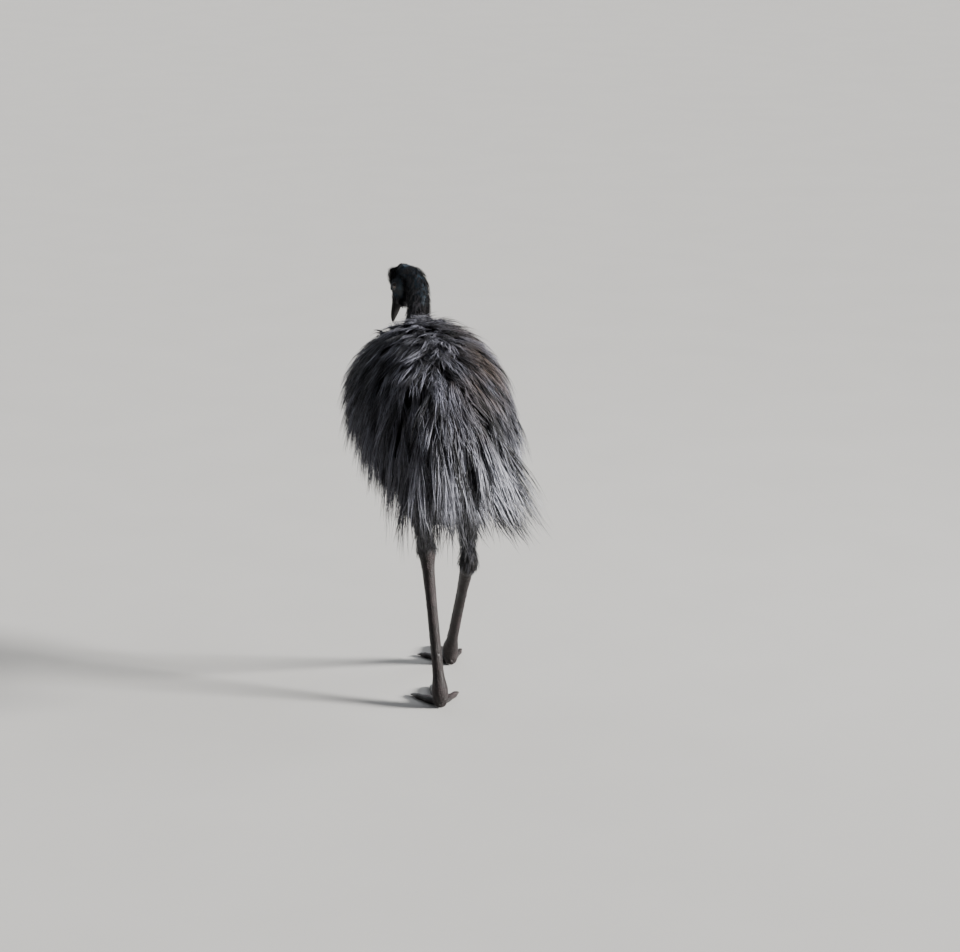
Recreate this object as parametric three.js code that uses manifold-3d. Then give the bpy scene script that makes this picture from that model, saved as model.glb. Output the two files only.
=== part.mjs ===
// A life-size emu in mid-stride as a still model. The right foot is planted in front and the left foot
// behind, and the neck reaches forward and arches over so that the head hangs and looks to its left.
// Millimetres, +Z up. The bird faces -Y, its left side is +X, and the ground is Z = 0.
import * as THREE from "three";
import { mergeVertices } from "three/addons/utils/BufferGeometryUtils.js";
import Module from "manifold-3d";

const wasm = await Module();
wasm.setup();

// Driving dimensions
const BODY_MIDDLE_Y = 20;
const BODY_HALF_LENGTH = 365;
const BODY_HALF_WIDTH = 166;
const BODY_HALF_HEIGHT = 166;
const BODY_CENTRE_Z = 800;
const BODY_X = 16; // the trunk's middle stands a little to the left of the feet
const COAT_HEIGHT = 46; // from the core to the tips that lie along the body
const ROOT_DEPTH = 14;
const TAIL_CUT_Y = 292;
const TARSUS_LENGTH = 376;
const BALL_HEIGHT = 44; // the joint that the toes spread from
const HEEL_HEIGHT = 7; // the foot's pad under that joint ends here
const HEAD_LENGTH = 104;
const BILL_LENGTH = 62;
const GAP = 0.3;
const CLEAN_EDGE = 0.02; // edges shorter than this are closed up
const GROW = 0.5; // how far a neighbour is thickened before it cuts another piece clear

const v3 = (x, y, z) => new THREE.Vector3(x, y, z);
const lerp = THREE.MathUtils.lerp;
const smooth = THREE.MathUtils.smoothstep;
const clamp = THREE.MathUtils.clamp;
const degrees = THREE.MathUtils.degToRad;

function randomFrom(seed) {
  let state = seed >>> 0;
  return () => {
    state = (state + 0x6d2b79f5) >>> 0;
    let mixed = Math.imul(state ^ (state >>> 15), state | 1);
    mixed ^= mixed + Math.imul(mixed ^ (mixed >>> 7), mixed | 61);
    return ((mixed ^ (mixed >>> 14)) >>> 0) / 4294967296;
  };
}

// Solids
function solidOf(geometry) {
  const bare = new THREE.BufferGeometry();
  bare.setAttribute("position", geometry.getAttribute("position"));
  if (geometry.index) bare.setIndex(geometry.index);
  const merged = mergeVertices(bare, 1e-3);
  return new wasm.Manifold(
    new wasm.Mesh({
      numProp: 3,
      vertProperties: new Float32Array(merged.attributes.position.array),
      triVerts: new Uint32Array(merged.index.array),
    }),
  );
}

function largestOf(solid) {
  const bodies = solid.simplify(CLEAN_EDGE).decompose();
  return bodies.reduce((best, one) => (one.volume() > best.volume() ? one : best), bodies[0]);
}

function unionOf(solids) {
  return wasm.Manifold.union(solids);
}

function geometryOf(solid) {
  const mesh = solid.getMesh();
  const geometry = new THREE.BufferGeometry();
  geometry.setAttribute("position", new THREE.BufferAttribute(mesh.vertProperties, mesh.numProp));
  geometry.setIndex(new THREE.BufferAttribute(mesh.triVerts, 1));
  geometry.computeVertexNormals();
  return geometry;
}

// A closed skin over rings of equal count. A ring of one point closes an end in a fan.
function skinOver(rings) {
  const points = rings.flat();
  const index = [];
  let start = 0;
  for (let r = 0; r + 1 < rings.length; r++) {
    const here = rings[r].length;
    const next = rings[r + 1].length;
    const after = start + here;
    const count = Math.max(here, next);
    for (let i = 0; i < count; i++) {
      const j = (i + 1) % count;
      if (here === 1) index.push(start, after + i, after + j);
      else if (next === 1) index.push(start + i, after, start + j);
      else index.push(start + i, after + i, start + j, start + j, after + i, after + j);
    }
    start = after;
  }
  const geometry = new THREE.BufferGeometry().setFromPoints(points);
  geometry.setIndex(index);
  return geometry;
}

function facingOut(geometry) {
  const solid = solidOf(geometry);
  if (solid.volume() >= 0) return solid;
  const turned = geometry.clone();
  const order = Array.from(turned.index.array);
  for (let i = 0; i < order.length; i += 3) [order[i + 1], order[i + 2]] = [order[i + 2], order[i + 1]];
  turned.setIndex(order);
  return solidOf(turned);
}

// A ring round a centre: wide along side, high along up and low against it
function ringAt(centre, side, up, wide, high, low, sides, power = 2) {
  const ring = [];
  for (let i = 0; i < sides; i++) {
    const angle = (2 * Math.PI * i) / sides;
    const c = Math.cos(angle);
    const s = Math.sin(angle);
    const across = Math.sign(s) * Math.abs(s) ** (2 / power) * wide;
    const along = Math.sign(c) * Math.abs(c) ** (2 / power) * (c > 0 ? high : low);
    ring.push(centre.clone().addScaledVector(side, across).addScaledVector(up, along));
  }
  return ring;
}

// A limb: rings along a curve, with sizes from a function of the share of its length
function limb(curve, sizeAt, count, sides, upHint) {
  const rings = [[curve.getPointAt(0)]];
  for (let i = 0; i <= count; i++) {
    const share = i / count;
    const centre = curve.getPointAt(share);
    const along = curve.getTangentAt(share);
    const side = v3().crossVectors(along, upHint(share)).normalize();
    const up = v3().crossVectors(side, along).normalize();
    const size = sizeAt(share);
    rings.push(ringAt(centre, side, up, size.wide, size.high, size.low ?? size.high, sides, size.power));
  }
  rings.push([curve.getPointAt(1)]);
  return facingOut(skinOver(rings));
}

function box(low, high) {
  const size = v3().subVectors(high, low);
  const geometry = new THREE.BoxGeometry(size.x, size.y, size.z);
  geometry.translate((low.x + high.x) / 2, (low.y + high.y) / 2, (low.z + high.z) / 2);
  return solidOf(geometry);
}

const STRAIGHT = new THREE.Matrix4();
function ball(centre, radii, turn = STRAIGHT, across = 16, down = 10) {
  const geometry = new THREE.SphereGeometry(1, across, down);
  geometry.scale(radii.x, radii.y, radii.z);
  geometry.applyMatrix4(turn);
  geometry.translate(centre.x, centre.y, centre.z);
  return solidOf(geometry);
}

// One flat tapered lock: three-sided rings along its path, root first, closing to a point
const LOCK_RINGS = 4;
function lockAlong(path, normals, halfWidth, halfThick, grow) {
  const last = path.length - 1;
  const tipGrow = v3().subVectors(path[last], path[last - 1]).setLength(12 * grow);
  const rings = [];
  for (let i = 0; i < last; i++) {
    const share = i / last;
    const along = v3().subVectors(path[i + 1], path[Math.max(i - 1, 0)]).normalize();
    const side = v3().crossVectors(along, normals[i]).normalize();
    const out = v3().crossVectors(side, along).normalize();
    const swell = 0.62 + 0.38 * Math.sin(Math.PI * Math.min(1, share * 1.25 + 0.1));
    const thin = halfThick * (1 - 0.55 * share);
    const broad = halfWidth * swell * (1 - 0.5 * share ** 3);
    const wide = broad + grow * (1.3 + broad / thin);
    const thick = thin + grow * 1.1;
    const base = path[i].clone().addScaledVector(out, -thick);
    rings.push([
      base.clone().addScaledVector(side, wide),
      base.clone().addScaledVector(side, -wide),
      path[i].clone().addScaledVector(out, thick),
    ]);
  }
  rings.push([path[last].clone().add(tipGrow)]);
  const first = rings[0];
  const root = v3().add(first[0]).add(first[1]).add(first[2]).divideScalar(3);
  return facingOut(skinOver([[root], ...rings]));
}

// The trunk: an egg with its blunt end forward
const bodyShare = (y) => clamp((y - BODY_MIDDLE_Y) / BODY_HALF_LENGTH, -1, 1);
const bodyEnvelope = (t) => Math.max(1 - Math.abs(t) ** 2.5, 0) ** 0.56;
function bodySection(y, grow = 0) {
  const t = bodyShare(y);
  const round = bodyEnvelope(t);
  return {
    centreZ: BODY_CENTRE_Z - 20 * t - 34 * t * t,
    wide: BODY_HALF_WIDTH * round * (1 - 0.05 * t) + grow,
    high: BODY_HALF_HEIGHT * round + grow,
    low: BODY_HALF_HEIGHT * round * 1.04 + grow,
  };
}

// A point of the trunk's core at a station and an angle from the ridge of the back, left positive
function corePoint(y, angle) {
  const s = bodySection(y);
  const c = Math.cos(angle);
  return v3(
    BODY_X + s.wide * Math.sin(angle),
    y,
    s.centreZ + (c > 0 ? s.high : s.low) * c,
  );
}

function coreNormal(y, angle) {
  const step = 2;
  const turn = 0.02;
  const alongY = v3().subVectors(corePoint(y + step, angle), corePoint(y - step, angle));
  const around = v3().subVectors(corePoint(y, angle + turn), corePoint(y, angle - turn));
  const normal = v3().crossVectors(alongY, around).normalize();
  const outward = v3(Math.sin(angle), bodyShare(y) * 0.5, Math.cos(angle));
  return normal.dot(outward) < 0 ? normal.negate() : normal;
}

// The core as a field: one on its surface, more outside
function bodyField(x, y, z) {
  const t = (y - BODY_MIDDLE_Y) / BODY_HALF_LENGTH;
  const s = bodySection(BODY_MIDDLE_Y);
  const drop = z - (BODY_CENTRE_Z - 20 * clamp(t, -1, 1) - 34 * Math.min(t * t, 1));
  const around = Math.hypot((x - BODY_X) / (s.wide * (1 - 0.05 * t)), drop / (drop > 0 ? s.high : s.low));
  return Math.sqrt(around ** (1 / 0.56) + Math.abs(t) ** 2.5);
}

// How far a point stands off the core, and the way out from there
function standOff(point) {
  const step = 1.5;
  const { x, y, z } = point;
  const slope = v3(
    bodyField(x + step, y, z) - bodyField(x - step, y, z),
    bodyField(x, y + step, z) - bodyField(x, y - step, z),
    bodyField(x, y, z + step) - bodyField(x, y, z - step),
  ).divideScalar(2 * step);
  const off = (bodyField(x, y, z) - 1) / Math.max(slope.length(), 1e-4);
  const inside = 0.98 * BODY_HALF_LENGTH;
  const s = bodySection(clamp(y, BODY_MIDDLE_Y - inside, BODY_MIDDLE_Y + inside));
  const angle = Math.atan2((x - BODY_X) / s.wide, (z - s.centreZ) / s.high);
  return { off, out: slope.normalize(), angle };
}

function coreSolid(fromY, toY, grow, sides = 22, count = 15) {
  const rings = [];
  const first = BODY_MIDDLE_Y - BODY_HALF_LENGTH;
  const last = BODY_MIDDLE_Y + BODY_HALF_LENGTH;
  const side = v3(1, 0, 0);
  const up = v3(0, 0, 1);
  rings.push([v3(BODY_X, first - grow, bodySection(first).centreZ)]);
  for (let i = 1; i < count; i++) {
    const y = BODY_MIDDLE_Y - BODY_HALF_LENGTH * Math.cos((Math.PI * i) / count);
    const s = bodySection(y, grow);
    rings.push(ringAt(v3(BODY_X, y, s.centreZ), side, up, s.wide, s.high, s.low, sides));
  }
  rings.push([v3(BODY_X, last + grow, bodySection(last).centreZ)]);
  let solid = facingOut(skinOver(rings));
  if (fromY !== null) solid = solid.trimByPlane([0, 1, 0], fromY - grow);
  if (toY !== null) solid = solid.trimByPlane([0, -1, 0], -toY - grow);
  return solid;
}

// The way the plumage lies: it parts along the ridge of the back and falls to both sides and rearwards
function lieAt(y, angle) {
  const steep = Math.abs(angle);
  const fall = lerp(0.5, 1.35, smooth(steep, 0.1, 1.2));
  const rear = smooth(y, 180, 330);
  const belly = smooth(steep, 1.9, 2.5);
  const before = Math.min(y, BODY_MIDDLE_Y + BODY_HALF_LENGTH - 12);
  const back = v3().subVectors(corePoint(before + 6, angle), corePoint(before, angle)).normalize();
  const around = corePoint(before, angle + 0.03 * Math.sign(angle));
  const down = around.sub(corePoint(before, angle)).normalize();
  return back
    .multiplyScalar(1 + 1.5 * belly)
    .addScaledVector(down, fall * (1 - belly) * (1 - 0.6 * rear))
    .normalize();
}

// A lock of the trunk: it rises out of the core, lies along the plumage and hangs once it is past the flank.
// Its pull is mostly down, and drift leans it sideways, left positive.
const DRAPE_STEPS = 16;
function drapedLock(y, angle, length, tipHeight, lift, swing, hang, drift) {
  const start = corePoint(y, angle);
  const first = standOff(start).out;
  start.addScaledVector(first, -ROOT_DEPTH);
  const points = [start];
  const outs = [first];
  const heading = lieAt(y, angle).applyAxisAngle(first, swing);
  const step = length / DRAPE_STEPS;
  let point = start.clone();
  for (let i = 1; i <= DRAPE_STEPS; i++) {
    const share = i / DRAPE_STEPS;
    heading.addScaledVector(v3(drift, 0, -1), 0.06 + hang * share).normalize();
    point = point.clone().addScaledVector(heading, step);
    const wanted = lerp(-ROOT_DEPTH, tipHeight, share ** 0.72) + lift * smooth(share, 0.05, 0.4);
    const now = standOff(point);
    if (now.off < wanted) point.addScaledVector(now.out, Math.min(wanted - now.off, step * 1.2));
    heading.copy(point).sub(points[i - 1]).normalize();
    points.push(point.clone());
    outs.push(outs[i - 1].clone().lerp(now.out, 0.35).normalize());
  }
  const path = [];
  const normals = [];
  for (let i = 0; i <= LOCK_RINGS; i++) {
    const at = Math.round((i * DRAPE_STEPS) / LOCK_RINGS);
    path.push(points[at]);
    normals.push(outs[at]);
  }
  return { path, normals };
}

const TRUNK_LOCKS = {
  angles: [9, 34, 60, 86, 112, 140],
  pitch: 88,
  firstY: -304,
  halfWidth: 43,
  halfThick: 5.2,
};

function trunkLocks(grow, toY) {
  const random = randomFrom(41);
  const locks = [];
  for (const hand of [1, -1]) {
    TRUNK_LOCKS.angles.forEach((angleDegrees, row) => {
      const shift = row % 2 ? TRUNK_LOCKS.pitch / 2 : 0;
      for (let y = TRUNK_LOCKS.firstY + shift, n = 0; y < toY - 16; y += TRUNK_LOCKS.pitch, n++) {
        const jitter = [random(), random(), random(), random()].map((r) => 2 * r - 1);
        const placeY = y + 9 * jitter[0];
        const angle = degrees(angleDegrees + 3 * jitter[1]) * hand;
        const rear = smooth(placeY, 60, 300);
        const chest = smooth(-placeY, 180, 320);
        const belly = smooth(angleDegrees, 110, 140);
        let length = lerp(lerp(205, 262, rear), 128, chest) * (1 + 0.1 * jitter[2]);
        length = lerp(length, 110, belly);
        const width = lerp(TRUNK_LOCKS.halfWidth, 24, chest) * (1 + 0.1 * jitter[3]);
        const tip = lerp(COAT_HEIGHT, 30, Math.max(chest, belly)) * (1 + 0.08 * jitter[1]);
        const swing = 0.1 * jitter[0] * hand;
        const drift = hand < 0 ? -0.42 * rear : 0;
        const hang = lerp(0.16, 0.3, rear);
        const made = drapedLock(placeY, angle, length, tip, n % 2 ? 5 : 0, swing, hang, drift);
        locks.push(lockAlong(made.path, made.normals, width, TRUNK_LOCKS.halfThick, grow));
      }
    });
  }
  return locks;
}

// The tail: long soft plumes that droop off the rump in a broad skirt
const TAIL_LOCK = { halfWidth: 34, halfThick: 5.4 };
function tailLocks(grow) {
  const random = randomFrom(97);
  const locks = [];
  const rows = [
    { y: 304, angles: [0, 27, 54, 81, 108], length: 330, tip: 42 },
    { y: 338, angles: [14, 41, 69, 97], length: 305, tip: 34 },
    { y: 364, angles: [0, 40, 84], length: 276, tip: 26 },
    { y: 379, angles: [24, 80], length: 240, tip: 18 },
  ];
  rows.forEach((row, r) => {
    row.angles.forEach((angleDegrees) => {
      const hands = angleDegrees === 0 ? [1] : [1, -1];
      hands.forEach((hand) => {
        const jitter = [random(), random(), random()].map((v) => 2 * v - 1);
        const angle = degrees(Math.max(angleDegrees + 3 * jitter[0], 2)) * hand;
        const length = row.length * (1 - 0.3 * smooth(angleDegrees, 70, 130)) * (1 + 0.08 * jitter[1]);
        const sideways = smooth(angleDegrees, 10, 70);
        const swing = -hand * (hand > 0 ? 0.32 : 0.6) * sideways + 0.1 * jitter[0];
        const drift = hand < 0 ? -0.75 * sideways : 0;
        const placeY = row.y + 4 * jitter[2];
        const tip = row.tip * (hand < 0 ? 1 + 0.35 * sideways : 1);
        const made = drapedLock(placeY, angle, length, tip, r % 2 ? 4 : 0, swing, 0.2, drift);
        locks.push(lockAlong(made.path, made.normals, TAIL_LOCK.halfWidth, TAIL_LOCK.halfThick, grow));
      });
    });
  });
  return locks;
}

const trunkCore = coreSolid(null, TAIL_CUT_Y, 0);
const trunkCoreGrown = coreSolid(null, TAIL_CUT_Y, GAP + 0.05);
const tailCore = coreSolid(TAIL_CUT_Y + GAP, null, 0);

// Neck: it leaves the breast low, rises and arches over to the head
const NECK_POINTS = [
  v3(BODY_X, -150, 838),
  v3(BODY_X - 8, -330, 822),
  v3(BODY_X - 22, -455, 803),
  v3(-22, -543, 840),
  v3(-38, -606, 904),
  v3(-45, -660, 945),
  v3(-40, -710, 978),
  v3(-20, -744, 986),
];
const neckCurve = new THREE.CatmullRomCurve3(NECK_POINTS, false, "centripetal");
const neckRadius = (share) => lerp(86, 33, smooth(share, 0.0, 0.72) ** 0.8) + 2 * smooth(share, 0.85, 1);
const neckUp = () => v3(0, 0.55, 1).normalize();
const NECK_SPLITS = [0.0, 0.5, 0.76, 1.0];

function neckSolid(grow) {
  return limb(
    neckCurve,
    (share) => ({ wide: neckRadius(share) * 0.94 + grow, high: neckRadius(share) + grow }),
    18,
    12,
    neckUp,
  );
}

function neckFrame(share) {
  const along = neckCurve.getTangentAt(share);
  const side = v3().crossVectors(along, neckUp()).normalize();
  return { centre: neckCurve.getPointAt(share), along, side, up: v3().crossVectors(side, along).normalize() };
}

// Locks of the neck point down it, away from the head, and sag under their own weight
function neckLocks(fromShare, toShare, grow) {
  const random = randomFrom(Math.round(1000 * fromShare) + 7);
  const locks = [];
  const ringStep = 0.118;
  let ringNumber = Math.round(fromShare * 100);
  for (let share = fromShare + 0.06; share < toShare - 0.03; share += ringStep) {
    ringNumber++;
    const radius = neckRadius(share);
    const count = Math.round(lerp(7, 5, smooth(share, 0.3, 0.8)));
    for (let i = 0; i < count; i++) {
      const jitter = [random(), random(), random()].map((v) => 2 * v - 1);
      const angle = (2 * Math.PI * (i + (ringNumber % 2) / 2)) / count + 0.1 * jitter[0];
      const length = lerp(112, 58, smooth(share, 0.3, 0.85)) * (1 + 0.12 * jitter[1]);
      const tip = lerp(26, 12, smooth(share, 0.3, 0.85)) * (1 + 0.15 * jitter[2]);
      const path = [];
      const normals = [];
      for (let k = 0; k <= 3; k++) {
        const along = k / 3;
        const at = clamp(share - (length * along) / neckLength, 0.001, 0.999);
        const frame = neckFrame(at);
        const out = v3()
          .addScaledVector(frame.side, Math.sin(angle))
          .addScaledVector(frame.up, Math.cos(angle));
        const off = neckRadius(at) * 0.97 + lerp(-10, tip, along ** 0.8);
        const point = frame.centre.clone().addScaledVector(out, off);
        const below = 0.5 - 0.5 * out.z;
        point.z -= length * 0.2 * along * along * below;
        path.push(point);
        normals.push(out);
      }
      const width = ((Math.PI * radius) / count) * 1.12;
      locks.push(lockAlong(path, normals, width, 3.4, grow));
    }
  }
  return locks;
}
const neckLength = neckCurve.getLength();

function neckPart(number, grow) {
  const [from, to] = [NECK_SPLITS[number], NECK_SPLITS[number + 1]];
  let part = neckSolid(grow);
  const cut = (share, keepAfter, room) => {
    const at = neckCurve.getPointAt(share);
    const way = neckCurve.getTangentAt(share);
    const sign = keepAfter ? 1 : -1;
    const normal = [way.x * sign, way.y * sign, way.z * sign];
    part = part.trimByPlane(normal, sign * at.dot(way) + room - grow);
  };
  if (number > 0) cut(from, true, GAP / 2);
  if (number < 2) cut(to, false, GAP / 2);
  return unionOf([part, ...neckLocks(from, to, grow)]);
}

// Head: its own frame is x toward the bill, y to the bird's left, z to the crown
const HEAD_START = neckCurve.getPointAt(1);
const HEAD_WAY = v3(0.29, -0.08, -0.953).normalize();
const HEAD_CROWN = v3(0.72, -0.64, 0.25);
HEAD_CROWN.addScaledVector(HEAD_WAY, -HEAD_CROWN.dot(HEAD_WAY)).normalize();
const HEAD_LEFT = v3().crossVectors(HEAD_CROWN, HEAD_WAY).normalize();
const HEAD_RISE = 23;
const headMatrix = new THREE.Matrix4()
  .makeBasis(HEAD_WAY, HEAD_LEFT, HEAD_CROWN)
  .setPosition(HEAD_START.clone().addScaledVector(HEAD_WAY, -HEAD_RISE));
const placed = (solid) => solid.transform(Array.from(headMatrix.elements));

const THROAT_DEPTH = 10;
const headShape = (share) => {
  const skull = Math.sin(Math.PI * clamp(share * 0.78 + 0.16, 0, 1));
  const face = smooth(share, 0.45, 1);
  const throat = THROAT_DEPTH * Math.exp(-(((share - 0.68) / 0.26) ** 2));
  return {
    wide: lerp(34 * skull ** 0.7, 19.5, face),
    high: lerp(35 * skull ** 0.8, 13.5, face),
    low: lerp(30 * skull ** 0.6, 15, face) + throat,
    power: 2.1,
  };
};
const EYE = { x: 58, y: 19.5, z: 6, radius: 15 };
const EAR = { x: 26, y: 27, z: -4 };
const MOUTH_Z = -4.5;

function headLocal(grow) {
  const line = new THREE.LineCurve3(v3(-4 - grow, 0, 0), v3(HEAD_LENGTH + grow, 0, 0));
  let solid = limb(
    line,
    (share) => {
      const s = headShape(share);
      const end = share < 0.04 ? 0.8 : 1;
      const [wide, high, low] = [s.wide, s.high, s.low].map((size) => size * end + grow);
      return { wide, high, low, power: s.power };
    },
    13,
    14,
    () => v3(0, 0, 1),
  );
  const extras = [];
  for (const hand of [1, -1]) {
    const brow = new THREE.Matrix4().makeRotationY(0.12);
    const swollen = (x, y, z) => v3(x + grow, y + grow, z + grow);
    extras.push(ball(v3(EYE.x - 1, hand * (EYE.y + 7.5), EYE.z + 8.5), swollen(19, 7.5, 6.5), brow, 10, 6));
    extras.push(ball(v3(EYE.x, hand * (EYE.y + 5), EYE.z), swollen(15.5, 9.6, 13.6), STRAIGHT, 12, 8));
    extras.push(ball(v3(EAR.x, hand * (EAR.y + 1), EAR.z), swollen(9, 5, 10.5), STRAIGHT, 8, 6));
  }
  solid = unionOf([solid, ...extras]);
  return solid;
}

function bristles(grow) {
  const random = randomFrom(311);
  const locks = [];
  for (let row = 0; row < 3; row++) {
    const x = 10 + row * 25;
    const count = row % 2 ? 3 : 4;
    for (let i = 0; i < count; i++) {
      const jitter = [random(), random(), random()].map((v) => 2 * v - 1);
      const spread = degrees(((i - (count - 1) / 2) * 40) + 6 * jitter[0]);
      const s = headShape(clamp((x + 4) / (HEAD_LENGTH + 4), 0, 1));
      const out = v3(0, Math.sin(spread), Math.cos(spread));
      const surface = v3(x, s.wide * Math.sin(spread), s.high * Math.cos(spread));
      const length = 44 * (1 + 0.2 * jitter[1]);
      const path = [];
      const normals = [];
      for (let k = 0; k <= 3; k++) {
        const along = k / 3;
        path.push(
          surface
            .clone()
            .add(v3(-length * 0.8 * along, 0, 0))
            .addScaledVector(out, lerp(-6, 9 + 3 * jitter[2], Math.sin(1.9 * along))),
        );
        normals.push(out);
      }
      locks.push(lockAlong(path, normals, 9, 2.4, grow));
    }
  }
  return locks;
}

function eyeLocal(hand, grow) {
  return ball(v3(EYE.x, hand * EYE.y, EYE.z), v3(1, 1, 1).multiplyScalar(EYE.radius + grow), STRAIGHT, 14, 9);
}

function lidCut(hand) {
  return ball(v3(EYE.x, hand * (EYE.y + 19), EYE.z), v3(11.5, 12, 9.2), STRAIGHT, 12, 8);
}

function headWhole() {
  let solid = unionOf([headLocal(0), ...bristles(0)]);
  for (const hand of [1, -1]) {
    solid = solid.subtract(eyeLocal(hand, GAP)).subtract(lidCut(hand));
    solid = solid.subtract(ball(v3(EAR.x, hand * (EAR.y + 8), EAR.z), v3(5, 9, 6), STRAIGHT, 8, 6));
    const [near, far] = hand > 0 ? [12, 40] : [-40, -12];
    solid = solid.subtract(box(v3(78, near, MOUTH_Z - 0.6), v3(120, far, MOUTH_Z + 0.6)));
  }
  return largestOf(solid);
}

function billHalf(upper) {
  const start = HEAD_LENGTH + GAP;
  const rings = [];
  const sides = 10;
  const count = 7;
  const droop = (x) => -3 * ((x - start) / BILL_LENGTH) ** 2;
  for (let i = 0; i <= count; i++) {
    const share = (i / count) ** 0.85;
    const x = start + (BILL_LENGTH + (upper ? 0 : -4)) * share;
    const round = Math.sqrt(Math.max(1 - share ** 3.4, 0.006));
    const wide = (upper ? lerp(19, 13.5, share) : lerp(17, 12, share)) * round;
    const rise = (upper ? lerp(17, 10, share ** 0.8) : lerp(9.5, 6, share)) * round;
    const middle = MOUTH_Z + droop(x) + (upper ? GAP : -GAP);
    const ring = [];
    for (let k = 0; k < sides; k++) {
      const angle = (Math.PI * k) / (sides - 1);
      const y = wide * Math.cos(angle);
      const z = middle + (upper ? 1 : -1) * rise * Math.max(Math.sin(angle), 0) ** 0.9;
      ring.push(v3(x, y, z));
    }
    rings.push(ring);
  }
  const capAt = (ring) => {
    const sum = ring.reduce((total, p) => total.add(p), v3(0, 0, 0));
    return [sum.divideScalar(ring.length)];
  };
  let solid = facingOut(skinOver([capAt(rings[0]), ...rings, capAt(rings[count])]));
  if (upper) {
    for (const hand of [1, -1]) {
      const nostril = v3(start + 25, hand * 15.5, MOUTH_Z + 8.5);
      solid = solid.subtract(ball(nostril, v3(7.5, 4.2, 2.6), STRAIGHT, 8, 6));
    }
  }
  return largestOf(solid);
}

// Legs. Each is one limb from inside the trunk to the pad of the foot, parted at the hock.
const LEGS = {
  left: {
    ball: v3(16, 170, BALL_HEIGHT),
    lean: -20,
    out: 2.6,
    turnIn: 0,
    knee: v3(70, -165, 740),
    hip: v3(84, -90, 790),
  },
  right: {
    ball: v3(-63, -178, BALL_HEIGHT),
    lean: 34,
    out: -3.4,
    turnIn: 8,
    knee: v3(-104, -150, 700),
    hip: v3(-92, -90, 780),
  },
};

function hockOf(leg) {
  const lean = degrees(leg.lean);
  const way = v3(Math.tan(degrees(leg.out)), Math.tan(lean), 1).normalize();
  return leg.ball.clone().addScaledVector(way, TARSUS_LENGTH);
}

function legCurve(leg) {
  const hock = hockOf(leg);
  const way = v3().subVectors(leg.ball, hock).normalize();
  const shank = v3().subVectors(hock, leg.knee).normalize();
  const points = [
    leg.hip,
    leg.knee,
    hock.clone().addScaledVector(shank, -150),
    hock.clone().addScaledVector(shank, -36),
    hock,
    hock.clone().addScaledVector(way, 36),
    hock.clone().lerp(leg.ball, 0.5),
    leg.ball.clone().addScaledVector(way, -30),
    leg.ball,
    leg.ball.clone().setZ(HEEL_HEIGHT),
  ];
  return new THREE.CatmullRomCurve3(points, false, "centripetal");
}

function legSizes(curve, leg) {
  const hock = hockOf(leg);
  const total = curve.getLength();
  let hockShare = 0;
  let nearest = Infinity;
  for (let i = 0; i <= 400; i++) {
    const gap = curve.getPointAt(i / 400).distanceTo(hock);
    if (gap < nearest) {
      nearest = gap;
      hockShare = i / 400;
    }
  }
  const sizeAt = (share) => {
    const distance = (share - hockShare) * total;
    const joint = Math.exp(-((distance / 30) ** 2));
    if (distance < 0) {
      const rise = smooth(-distance, 20, 260);
      const wide = lerp(17, 62, rise ** 1.15) + 8 * joint;
      return { wide, high: lerp(19, 78, rise ** 1.15) + 9 * joint };
    }
    const pastBall = distance - total * (1 - hockShare) + BALL_HEIGHT - HEEL_HEIGHT;
    const foot = Math.exp(-((pastBall / 34) ** 2));
    const pad = 1 - 0.3 * smooth(pastBall, 14, BALL_HEIGHT - HEEL_HEIGHT);
    const wide = (lerp(17, 14.5, smooth(distance, 20, 160)) + 8 * joint + 7 * foot) * pad;
    const scute = 0.8 * ((distance / 13) % 1);
    return { wide: wide + scute * 0.5, high: wide * 1.12 + scute, low: wide * 1.12 };
  };
  return { hockShare, sizeAt };
}

function legSolids(leg, grow) {
  const curve = legCurve(leg);
  const { hockShare, sizeAt } = legSizes(curve, leg);
  const front = () => v3(0, -1, 0.02).normalize();
  const whole = limb(
    curve,
    (share) => {
      const s = sizeAt(share);
      return { wide: s.wide + grow, high: s.high + grow, low: (s.low ?? s.high) + grow };
    },
    34,
    10,
    front,
  );
  const at = curve.getPointAt(hockShare);
  const way = curve.getTangentAt(hockShare);
  const normal = [way.x, way.y, way.z];
  const offset = at.dot(way);
  return {
    shank: whole.trimByPlane([-way.x, -way.y, -way.z], -offset + GAP / 2 - grow),
    tarsus: whole.trimByPlane(normal, offset + GAP / 2 - grow),
  };
}

// Feet: three toes, the middle one longest, each ending in a blunt claw
const TOES = [
  { name: "inner", turn: 33, length: 84, wide: 12, claw: 24 },
  { name: "middle", turn: 0, length: 124, wide: 14.5, claw: 30 },
  { name: "outer", turn: -31, length: 88, wide: 12, claw: 24 },
];

function toePath(leg, hand, toe) {
  const inward = degrees(toe.turn + leg.turnIn);
  const ahead = v3(-hand * Math.sin(inward), -Math.cos(inward), 0);
  const heel = leg.ball.clone().setZ(0);
  const low = toe.wide * 0.68;
  return [
    heel.clone().addScaledVector(ahead, -12).setZ(18),
    heel.clone().addScaledVector(ahead, 20).setZ(low + 5),
    heel.clone().addScaledVector(ahead, 46).setZ(low + 2),
    heel.clone().addScaledVector(ahead, toe.length * 0.78).setZ(low),
    heel.clone().addScaledVector(ahead, toe.length + 14).setZ(low - 3),
  ];
}

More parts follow.
